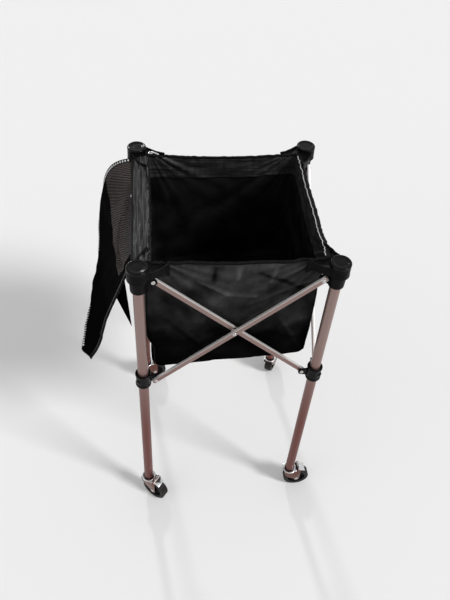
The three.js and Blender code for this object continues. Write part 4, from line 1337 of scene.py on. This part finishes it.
class BagWalls(bpy.types.Operator):
    """The bag's four sides, with their facings, seams, bindings and zip teeth"""
    bl_idname = "hopper.bag_walls"
    bl_label = "Bag sides"

    def execute(self, context):
        sizes = bag_sizes()
        wide, tall = 2 * BAG_HALF, RIM_TOP - BAG_BASE
        for side in SIDES:
            body = HOLDERS[side][0]
            # The fold height painted on the points drives painted light on ridges and painted shade in hollows
            wall = cloth(f"wall_{side}", 150, 120, (wide, tall),
                         lambda across, down: shell(side, across, down)[0],
                         sizes.cloth, "woven", body, [f"bag_wall_{side}"],
                         paint=lambda across, down: relief(side, across, down) / sizes.wrinkle)

            def lining(across, down):
                ruffle = 1.0 * MM * (1 + crumple((across * wide, down * 0.02, 0), 0.013, 9))
                deep = down * sizes.facing / tall
                return shell(side, across, deep, 1.7 * MM + ruffle * math.sin(math.pi * min(1, down * 1.2)))[0]

            facing = cloth(f"facing_{side}", 150, 26, (wide, sizes.facing), lining, 0.9 * MM,
                           "gathered", body)

            def hem(across):
                return shell(side, across, sizes.facing / tall, 2.4 * MM)

            fold = roll(f"facing_hem_{side}", hem, (2.0 * MM, 2.6 * MM), 100, "satin", body, rounds=8)
            broad, high, outwards = (value * MM for value in BINDINGS[side])

            def rim(across):
                point, out = shell(side, across, 0.002, 0.9 * MM)
                sway = 0.8 * MM * crumple((across * wide, 0, 0), 0.03, 4)
                lead = outwards * (1 - abs(2 * across - 1) ** 8)
                return point + out * lead + Vector((0, 0, 0.4 * MM + sway)), out

            binding = roll(f"binding_{side}", rim, (broad, high), 130, "satin", body, rounds=14)

            def edge(across):
                return shell(side, 0.001, 0.02 + 0.93 * across, -0.8 * MM)

            seam = roll(f"seam_{side}", edge, (2.2 * MM, 2.2 * MM), 60, "satin", body, rounds=8, upright=False)
            extras = [facing, fold, binding, seam]
            if side != "left":
                def row(across):
                    point, out = rim(0.02 + 0.96 * across)
                    return point - out * (0.36 * broad) + Vector((0, 0, 0.40 * high)), out
                look = "toothed" if side == "right" else "glazed"
                extras.append(tooth_row(f"teeth_{side}", row, 0.96 * wide, body, sizes.tooth_pitch, look,
                                        (1.7 * MM, 1.0 * MM)))
            for piece in [wall, *extras]:
                crumpled_with_fold(piece)
        return {"FINISHED"}


class CornerTabs(bpy.types.Operator):
    """Gathered cloth that leads from the corner sleeves into the bag's rim"""
    bl_idname = "hopper.corner_tabs"
    bl_label = "Corner tabs"

    def execute(self, context):
        near, far = Vector((18.4, -10.5)) * MM, Vector((66, 20.4)) * MM
        top, base = TUBE_HIGH.z - 1.6 * MM, UPPER + 14 * MM
        for corner in CORNERS:
            index = CORNERS.index(corner)
            for way in (0, 1):
                seed = 2.7 * index + way

                def place(across, down):
                    line = near.lerp(far, across)
                    bow = 3.5 * MM * math.sin(math.pi * across)
                    high = top - 5 * MM * math.sin(math.pi * across) + 1 * MM * across
                    low = base - 16 * MM * step(across, 0.7, 1)
                    ripple = 1.3 * MM * crumple((across * 0.05, down * 0.012, 0), 0.009, seed)
                    spot = Vector((line.x, line.y - bow + ripple, high + (low - high) * down))
                    return Vector((spot.y, spot.x, spot.z)) if way else spot

                body, where = f"leg_{corner}", corner_place(corner)
                name = f"tab_{corner}_{'ab'[way]}"
                tab = cloth(name, 44, 20, (0.056, 0.024), place, 1.2 * MM, "satin", body, where=where)

                def lip(across):
                    ahead = place(min(1, across + 0.02), 0) - place(max(0, across - 0.02), 0)
                    out = Vector((ahead.y, -ahead.x, 0)).normalized()
                    return where @ place(across, 0), where.to_3x3() @ out

                def web(across, down):
                    start = place(across, 0)
                    end = Vector((21.5 + 44.5 * across, 22.4)) * MM
                    rest = Vector((end.y, end.x)) if way else end
                    level = start.xy.lerp(rest, down)
                    sag = 4 * MM * math.sin(math.pi * down) * (0.4 + across)
                    return Vector((level.x, level.y, start.z - 1.2 * MM - sag))

                gusset = cloth(f"{name}_gusset", 36, 14, (0.052, 0.02), web, 1.0 * MM, "satin", body,
                               where=where)
                edge = roll(f"{name}_edge", lip, (5.4 * MM, 6 * MM), 40, "satin", body, rounds=10)
                for piece in (tab, edge, gusset):
                    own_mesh(piece)
        return {"FINISHED"}


class ZipPuller(bpy.types.Operator):
    """The zip's slider and pull, parked by the back left corner"""
    bl_idname = "hopper.zip_puller"
    bl_label = "Zip puller"

    def execute(self, context):
        start = Vector((LEG_AXES["bl"].x + 33 * MM, LEG_AXES["bl"].y - 19 * MM, RIM_TOP + 4.5 * MM))
        mesh = bmesh.new()
        bar(mesh, (11 * MM, 8 * MM, 4.4 * MM), Matrix.Translation(start), edge=1.2 * MM, segments=3)
        bar(mesh, (6 * MM, 2.4 * MM, 2.6 * MM), Matrix.Translation(start + Vector((0, 0, 3 * MM))), edge=0.8 * MM)
        tilt = Matrix.Translation(start + Vector((4, 1, 3.6)) * MM) @ Matrix.Rotation(math.radians(-28), 4, "Z") @ \
            Matrix.Rotation(math.radians(8), 4, "Y") @ Matrix.Rotation(QUARTER, 4, "X")
        outline = arc((16 * MM, 0), 2.6 * MM, -QUARTER, QUARTER, 8) + arc((0, 0), 1.9 * MM, QUARTER, 3 * QUARTER, 8)
        plate(mesh, outline, 1.1 * MM, tilt, edge=0.3 * MM)
        finished(mesh, "zip_puller", "riveted", "leg_bl", slot="zinc")
        return {"FINISHED"}


class BagFloor(bpy.types.Operator):
    """The bag's floor, sewn to the lower edge of its sides"""
    bl_idname = "hopper.bag_floor"
    bl_label = "Bag floor"

    def execute(self, context):
        sizes = bag_sizes()
        centre = Vector((SQUARE.x, SQUARE.y, BAG_BASE + 2 * MM))

        def place(across, down):
            index = min(int(across * 4), 3)
            edge = shell(SIDES[index], across * 4 - index, 1)[0]
            point = edge.lerp(centre, down)
            slack = 1 - (1 - down) ** 2
            spread_out = crumple((point.x, point.y, 0), 0.07, 2) + 0.4 * crumple((point.x, point.y, 0), 0.03, 6)
            point.z += slack * (1.2 * sizes.wrinkle * spread_out - 6 * MM)
            return point

        wide = 2 * (BAG_HALF - sizes.taper - sizes.hem_curve)
        floor = cloth("floor_panel", 480, 48, (wide, wide), place, sizes.cloth, "woven", "leg_fl",
                      ["bag_floor"], closed=True, lay=lambda point: (point.x, point.y))
        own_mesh(floor)
        gather_in_depth(floor)
        return {"FINISHED"}


def gather_in_depth(piece, follow="body:leg_bl"):
    """Let a piece that spans the frame from front to back follow the back legs by its depth."""
    group = piece.vertex_groups.new(name="Depth")
    span = LEG_AXES["bl"].y - LEG_AXES["fl"].y
    for vert in piece.data.vertices:
        group.add([vert.index], min(1, max(0, (vert.co.y - LEG_AXES["fl"].y) / span)), "REPLACE")
    hook = piece.modifiers.new("Depth", "HOOK")
    hook.object = bpy.data.objects[follow]
    hook.vertex_group = "Depth"
    hook.falloff_type = "NONE"
    hook.matrix_inverse = hook.object.matrix_world.inverted() @ piece.matrix_world


BAND_LOW, BAND_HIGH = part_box("rim_band")
HINGE = pivot("lid_hinge")
LID_HALF = (BAND_HIGH.y - BAND_LOW.y) / 2


def band_height(along, out):
    """Height of the band between the left rim and the lid."""
    return RIM_TOP - 11 * MM * (1 - along * along) + 1.3 * MM - 7 * MM * out * out


class RimBand(bpy.types.Operator):
    """The gathered band that leads from the left rim to the lid"""
    bl_idname = "hopper.rim_band"
    bl_label = "Gathered band"

    def execute(self, context):
        wide, tall = 2 * LID_HALF, BAND_HIGH.x - BAND_LOW.x

        def place(across, down):
            along = 1 - 2 * across
            y = SQUARE.y + along * LID_HALF
            drift = 0.9 * noise.noise(Vector((y / 0.11, 3.3, 0)))
            pleat = math.sin(FULL * (3.4 * down + drift)) + 0.5 * math.sin(FULL * (6.1 * down - drift))
            hold = math.sin(math.pi * min(1, max(0, down))) ** 0.5
            crease = 0.6 * crumple((down * tall * 2.2, y * 0.35, 0), 0.010, 8)
            z = band_height(along, down) + hold * (1.5 * MM * pleat + 1.6 * MM * crease)
            waver = 1.4 * MM * crumple((0, y, 0), 0.05, 3) * hold
            return Vector((BAND_HIGH.x - tall * down + waver, y, z))

        band = cloth("band", 150, 44, (wide, 1.35 * tall), place, 1.1 * MM, "gathered", "leg_fl",
                     ["rim_band"])

        def edge(out):
            def path(across):
                point = place(across, out)
                return point + Vector((0, 0, 0.5 * MM)), Vector((1, 0, 0))
            return path

        inner = roll("band_edge_inner", edge(0.0), (3.4 * MM, 3.6 * MM), 120, "satin", "leg_fl")
        outer = roll("band_edge_outer", edge(0.97), (5.4 * MM, 4.6 * MM), 120, "satin", "leg_fl")
        for piece in (band, inner, outer):
            crumpled_with_fold(piece)
        return {"FINISHED"}


def sleeve_point(turn_share, height, radius, tip):
    """A point of the teardrop loop round a bracket, from its tip round and back, in the corner's frame."""
    touch = math.acos(radius / tip)
    straight = math.sqrt(tip * tip - radius * radius)
    bow = radius * (FULL - 2 * touch)
    travel = turn_share * (2 * straight + bow)
    end = Vector((tip, 0, height))
    if travel < straight:
        point = end.lerp(Vector((radius * math.cos(touch), radius * math.sin(touch), height)), travel / straight)
    elif travel < straight + bow:
        turn = touch + (travel - straight) / radius
        point = Vector((radius * math.cos(turn), radius * math.sin(turn), height))
    else:
        start = Vector((radius * math.cos(touch), -radius * math.sin(touch), height))
        point = start.lerp(end, (travel - straight - bow) / straight)
    return Matrix.Rotation(QUARTER / 2, 4, "Z") @ point


class CornerSleeves(bpy.types.Operator):
    """Loops of cloth that hold the bag's corners to the brackets"""
    bl_idname = "hopper.corner_sleeves"
    bl_label = "Corner sleeves"

    def execute(self, context):
        low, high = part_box("corner_sleeve_fl")[0].z, TUBE_HIGH.z
        radius, tip = 22.2 * MM, 28.6 * MM
        for corner in CORNERS:
            seed = CORNERS.index(corner) * 2.3

            def place(across, down):
                height = high - (high - low) * down
                slack = math.sin(math.pi * down)
                pucker = crumple((across * 0.16, down * 0.012, 0), 0.011, seed)
                ring = radius + 0.35 * MM * pucker * slack + 0.3 * MM * down
                height += 1.1 * MM * crumple((across * 0.16, 0, 0), 0.03, seed) * down
                return sleeve_point(across, height, ring, tip)

            body, where = f"leg_{corner}", corner_place(corner)
            loop = cloth(f"sleeve_{corner}", 110, 20, (0.152, high - low), place, 1.3 * MM, "satin", body,
                         [f"corner_sleeve_{corner}"], where=where)

            def hem(across):
                point = place(across, 0.97)
                out = Vector((point.x, point.y, 0)).normalized()
                return where @ point, where.to_3x3() @ out

            lower = roll(f"sleeve_hem_{corner}", hem, (2.6 * MM, 3.2 * MM), 110, "satin", body)
        return {"FINISHED"}


# Lid

DROP_BACK, DROP_FRONT = 153 * MM, 305 * MM
TUCK_START = Vector((36 * MM, 20 * MM, 165 * MM))
TUCK_TIP = Vector((16 * MM, -84 * MM, 300 * MM))
TUCK_SHARE = 0.37

# Along the lid from back to front: how far its low edge flares out, in millimetres, and the shares of
# its height where the mesh ends and where the mesh lies folded over
FLARES = (75, 90, 90, 92, 97, 105, 111, 117, 123, 128, 133)
# Below where the mesh ends the lid is black nylon: partly its real border, partly a dark sheet standing for the mesh
# in shade
MESH_ENDS = (0.42, 0.37, 0.33, 0.27, 0.22)
FOLD_LINE = (0, 0, 0, 0.03, 0.09, 0.17, 0.21, 0.22, 0.20, 0.16, 0.12)


def lid_hang(across, down):
    """A point of the hanging sheet, which flares as it falls and is longest at the front."""
    along = 1 - 2 * across
    drop = DROP_BACK + (DROP_FRONT - DROP_BACK) * across
    round_over, straight = 1 - (1 - down) ** 3.1, 0.85 * down + 0.15 * down ** 5
    swing = round_over + (straight - round_over) * across ** 0.7
    fall = down ** (1.7 - 0.7 * step(across, 0, 0.3))
    y = SQUARE.y + along * LID_HALF
    behind = down - read(FOLD_LINE, across)
    there = step(across, 0.16, 0.4) * step(across, 0.95, 0.8)
    overlap = there * (5 * MM * bump(behind, 0, 0.03) - 3.5 * MM * bump(behind, -0.05, 0.035))
    soft = 2.4 * MM * crumple((y, 0.8 * down * drop, 0), 0.06, 12) * min(1, 3 * down)
    fine = 0.9 * MM * crumple((y, down * drop, 0), 0.02, 15) * min(1, 4 * down)
    hollow = 4 * MM * bump(down, 0.62, 0.16) * math.sin(math.pi * across)
    blunt = 24 * MM * step(across, 0.93, 1) * step(down, 0.5, 1)
    x = HINGE.x - read(FLARES, across) * MM * swing + overlap + soft + fine + hollow + blunt
    z = band_height(along, 1) - 1 * MM - drop * fall - 0.5 * overlap
    return Vector((x, y, z))


def lid_tuck(across):
    """The far edge of the cloth that is turned under."""
    origin = Vector((HINGE.x, SQUARE.y, HINGE.z))
    if across <= TUCK_SHARE:
        spot = TUCK_START.lerp(TUCK_TIP, (across / TUCK_SHARE) ** 0.8)
        return origin + Vector((-spot.x, spot.y, -spot.z))
    return lid_hang(across, 1) + Vector((4 * MM, 0, 10 * MM))


def lid_point(across, down):
    """A point of the whole lid: down to 1 it hangs, past 1 it is turned under."""
    if down <= 1:
        return lid_hang(across, down)
    past = down - 1
    point = lid_hang(across, 1).lerp(lid_tuck(across), past)
    bulge = math.sin(math.pi * min(1, past * 6)) * 3 * MM
    return point + Vector((2.5 * MM * min(1, past * 5), 0, -bulge))


def lid_frame(across, down):
    """A point of the lid with the way to its front, the way down and the way out from its face."""
    near, far = max(0, across - 0.01), min(1, across + 0.01)
    high, low = max(0, down - 0.01), min(1, down + 0.01)
    ahead = (lid_point(far, down) - lid_point(near, down)).normalized()
    fall = (lid_point(across, low) - lid_point(across, high)).normalized()
    return lid_point(across, down), ahead, fall, fall.cross(ahead).normalized()


def lid_shade_share(across, down):
    """Share of painted shade on the mesh: in the crease where it lies over itself, between the hinge and the fold,
    and over its lower part.
    """
    fold = read(FOLD_LINE, across)
    return max(0.9 * bump(down, fold, 0.016) * step(across, 0.18, 0.3), 0.4 * step(down, 0.06, 0.30),
               0.75 * step(down, 0.55 * fold, 0.4 * fold - 0.001) * step(across, 0.3, 0.4))


def depth_guide(context):
    """Name of an empty that swings with the lid but keeps the back legs' depth, for the lid to follow."""
    guide = bpy.data.objects.new("lid_guide", None)
    context.scene.collection.objects.link(guide)
    guide.parent = bpy.data.objects["body:lid"]
    depth = guide.constraints.new("COPY_LOCATION")
    depth.target = bpy.data.objects["body:leg_bl"]
    depth.use_x = depth.use_z = False
    context.view_layer.update()
    return guide.name


class Lid(bpy.types.Operator):
    """The unzipped mesh lid, with its nylon borders and half of the zip"""
    bl_idname = "hopper.lid"
    bl_label = "Lid"

    def execute(self, context):
        sizes = bag_sizes()
        wide, tall = 2 * LID_HALF, 0.27
        edge, front = sizes.lid_edge / wide, 1 - sizes.lid_front / wide

        def end(across):
            return read(MESH_ENDS, across)

        def patch(across, down):
            across = 0.6 * edge + (front + 0.01 - 0.6 * edge) * across
            return across, down * (end(across) + 0.015)

        def strip(start, finish_at, top, base):
            def place(across, down):
                across = start + (finish_at - start) * across
                return lid_point(across, top(across) + (base(across) - top(across)) * down)
            return place

        # The mesh carries its share of painted shade on its points
        screen = cloth("lid_mesh", 180, 90, (wide * front, 0.32 * tall), lambda a, d: lid_point(*patch(a, d)),
                       0.9 * MM, "knitted", "lid", ["lid_panel"], slot="mesh",
                       paint=lambda a, d: lid_shade_share(*patch(a, d)))
        # The low strip's black nylon reaches up to where the mesh ends, standing partly for mesh in shade
        strips = {"back": (10, 40, (0, edge, lambda a: 0, lambda a: end(a) + 0.005)),
                  "front": (30, 40, (front, 1, lambda a: 0, lambda a: end(a) + 0.005)),
                  "low": (150, 90, (0, 1, end, lambda a: 1))}
        borders = []
        for name, (columns, rows, bounds) in strips.items():
            size = (wide * (bounds[1] - bounds[0]), tall * (0.3 if name != "low" else 0.7))
            borders.append(cloth(f"lid_border_{name}", columns, rows, size, strip(*bounds), 1.9 * MM,
                                 "bordered", "lid"))
        borders.append(cloth("lid_flap", 150, 60, (wide, 0.16), lambda a, d: lid_point(a, 1 + d), 1.3 * MM,
                             "bordered", "lid"))

        def tape(start, stop, inset, lift):
            """A path over the lid's face between two (across, down) places."""
            def path(share):
                across = start[0] + (stop[0] - start[0]) * share
                down = start[1] + (stop[1] - start[1]) * share
                point, ahead, fall, face = lid_frame(across, down)
                inward = -fall if start[1] == stop[1] else ahead * (1 if across < 0.5 else -1)
                return point + inward * inset + face * lift, inward
            return path

        hems = {"back": ((0, 0.01), (0, 1)), "low": ((0, 1), (1, 1)), "front": ((1, 1), (1, 0.02))}
        for name, (start, stop) in hems.items():
            borders.append(roll(f"lid_hem_{name}", tape(start, stop, 0, 0), (3 * MM, 3 * MM), 120, "satin", "lid",
                                rounds=10, upright=False))
        teeth = {"back": ((0, 0.02), (0, 1), 0.16, 7, "toothed"),
                 "low_back": ((0, 1), (0.30, 1), 0.10, 8, "toothed"),
                 "low_front": ((0.66, 1), (0.93, 1), 0.10, 8, "toothed"),
                 "front": ((1, 0.98), (1, 0.04), 0.31, 3, "glazed")}
        for name, (start, stop, long, inset, look) in teeth.items():
            borders.append(tooth_row(f"lid_teeth_{name}", tape(start, stop, inset * MM, 2 * MM), long, "lid",
                                     sizes.lid_tooth_pitch, look, (4.2 * MM, 2.6 * MM)))
        guide = depth_guide(context)
        for piece in [screen, *borders]:
            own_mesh(piece)
            gather_in_depth(piece, guide)
        return {"FINISHED"}


# Stage

class SetStage(bpy.types.Operator):
    """Floor, background, lights and the camera"""
    bl_idname = "hopper.stage"
    bl_label = "Stage"

    def execute(self, context):
        mesh = bmesh.new()
        bmesh.ops.create_grid(mesh, x_segments=4, y_segments=4, size=9)
        data = bpy.data.meshes.new("floor")
        mesh.to_mesh(data)
        mesh.free()
        floor = bpy.data.objects.new("floor", data)
        floor.location.z = -0.4 * MM
        context.scene.collection.objects.link(floor)
        data.materials.append(finish("ground"))
        self.world(context)
        self.lamps(context)
        self.camera(context)
        context.scene.view_settings.view_transform = "Standard"
        return {"FINISHED"}

    def world(self, context):
        world = bpy.data.worlds.new("Studio")
        context.scene.world = world
        world.use_nodes = True
        tree = world.node_tree
        tree.nodes.clear()
        backdrop = (*colours().backdrop, 1)
        seen = add(tree, "ShaderNodeBackground", {"Color": backdrop, "Strength": 1.0}).outputs[0]
        dome_light = {"Color": (1, 1, 1, 1), "Strength": context.scene.hopper_stage.dome}
        lit = add(tree, "ShaderNodeBackground", dome_light).outputs[0]
        path = add(tree, "ShaderNodeLightPath").outputs
        straight = maths(tree, "MAXIMUM", path["Is Camera Ray"], path["Is Glossy Ray"])
        direct = maths(tree, "MAXIMUM", straight, path["Is Transmission Ray"])
        blend = add(tree, "ShaderNodeMixShader", {0: direct, 1: lit, 2: seen}).outputs[0]
        add(tree, "ShaderNodeOutputWorld", {0: blend})

    def lamps(self, context):
        stage = context.scene.hopper_stage
        for name, spot, spread_deg, strength in (("key", (1.9, -1.3, 2.0), 14, stage.key),
                                                 ("rim", (-0.4, 2.75, 1.97), 4, stage.rim),
                                                 ("side", (-2.2, -0.9, 1.6), 50, stage.side)):
            lamp = bpy.data.lights.new(name, "SUN")
            lamp.energy = strength
            lamp.angle = math.radians(spread_deg)
            holder = bpy.data.objects.new(name, lamp)
            context.scene.collection.objects.link(holder)
            holder.location = spot
            holder.rotation_euler = Vector(spot).to_track_quat("Z", "Y").to_euler()

    def camera(self, context):
        stage = context.scene.hopper_stage
        yaw, pitch, roll_angle = stage.yaw, stage.pitch, stage.roll
        ahead = Vector((math.sin(yaw) * math.cos(pitch), math.cos(yaw) * math.cos(pitch), -math.sin(pitch)))
        right = Vector((math.cos(yaw), -math.sin(yaw), 0))
        up = right.cross(ahead)
        across = right * math.cos(roll_angle) + up * math.sin(roll_angle)
        above = up * math.cos(roll_angle) - right * math.sin(roll_angle)
        turn = Matrix((across, above, -ahead)).transposed().to_4x4()
        lens = bpy.data.cameras.new("camera")
        lens.lens = stage.lens
        lens.sensor_width = 36
        camera = bpy.data.objects.new("camera", lens)
        context.scene.collection.objects.link(camera)
        spot = Vector(stage.camera) + Vector((SQUARE.x, SQUARE.y, 0))
        camera.matrix_world = Matrix.Translation(spot) @ turn
        context.scene.camera = camera


OPERATORS = (SetStage, LegTubes, Caps, Brackets, Sliders, Links, CasterSockets, Forks, Wheels, Pedals,
             BagWalls, BagFloor, RimBand, CornerSleeves, CornerTabs, ZipPuller, Lid)
GROUPS = {"hopper_frame": FrameSizes, "hopper_casters": CasterSizes, "hopper_bag": BagSizes,
          "hopper_colours": Colours, "hopper_stage": Stage}


class HopperPanel(bpy.types.Panel):
    """Lists the sizes, the colours and the pieces"""
    bl_idname = "VIEW3D_PT_hopper"
    bl_label = "Ball hopper"
    bl_space_type = "VIEW_3D"
    bl_region_type = "UI"
    bl_category = "Hopper"

    def draw(self, context):
        for name, group in GROUPS.items():
            column = self.layout.box().column()
            for label in group.__annotations__:
                column.prop(getattr(context.scene, name), label)
        column = self.layout.column()
        for operator in OPERATORS:
            column.operator(operator.bl_idname)


CLASSES = (*GROUPS.values(), *OPERATORS, HopperPanel)


def register():
    """Register the classes and give the scene its settings."""
    for item in CLASSES:
        bpy.utils.register_class(item)
    for name, group in GROUPS.items():
        setattr(bpy.types.Scene, name, PointerProperty(type=group))


def unregister():
    """Take the settings and the classes away again."""
    for name in GROUPS:
        delattr(bpy.types.Scene, name)
    for item in reversed(CLASSES):
        bpy.utils.unregister_class(item)


def main():
    """Build the whole hopper on its stage."""
    register()
    for operator in OPERATORS:
        family, action = operator.bl_idname.split(".")
        getattr(getattr(bpy.ops, family), action)()
    bpy.context.view_layer.update()


if __name__ == "__main__":
    main()
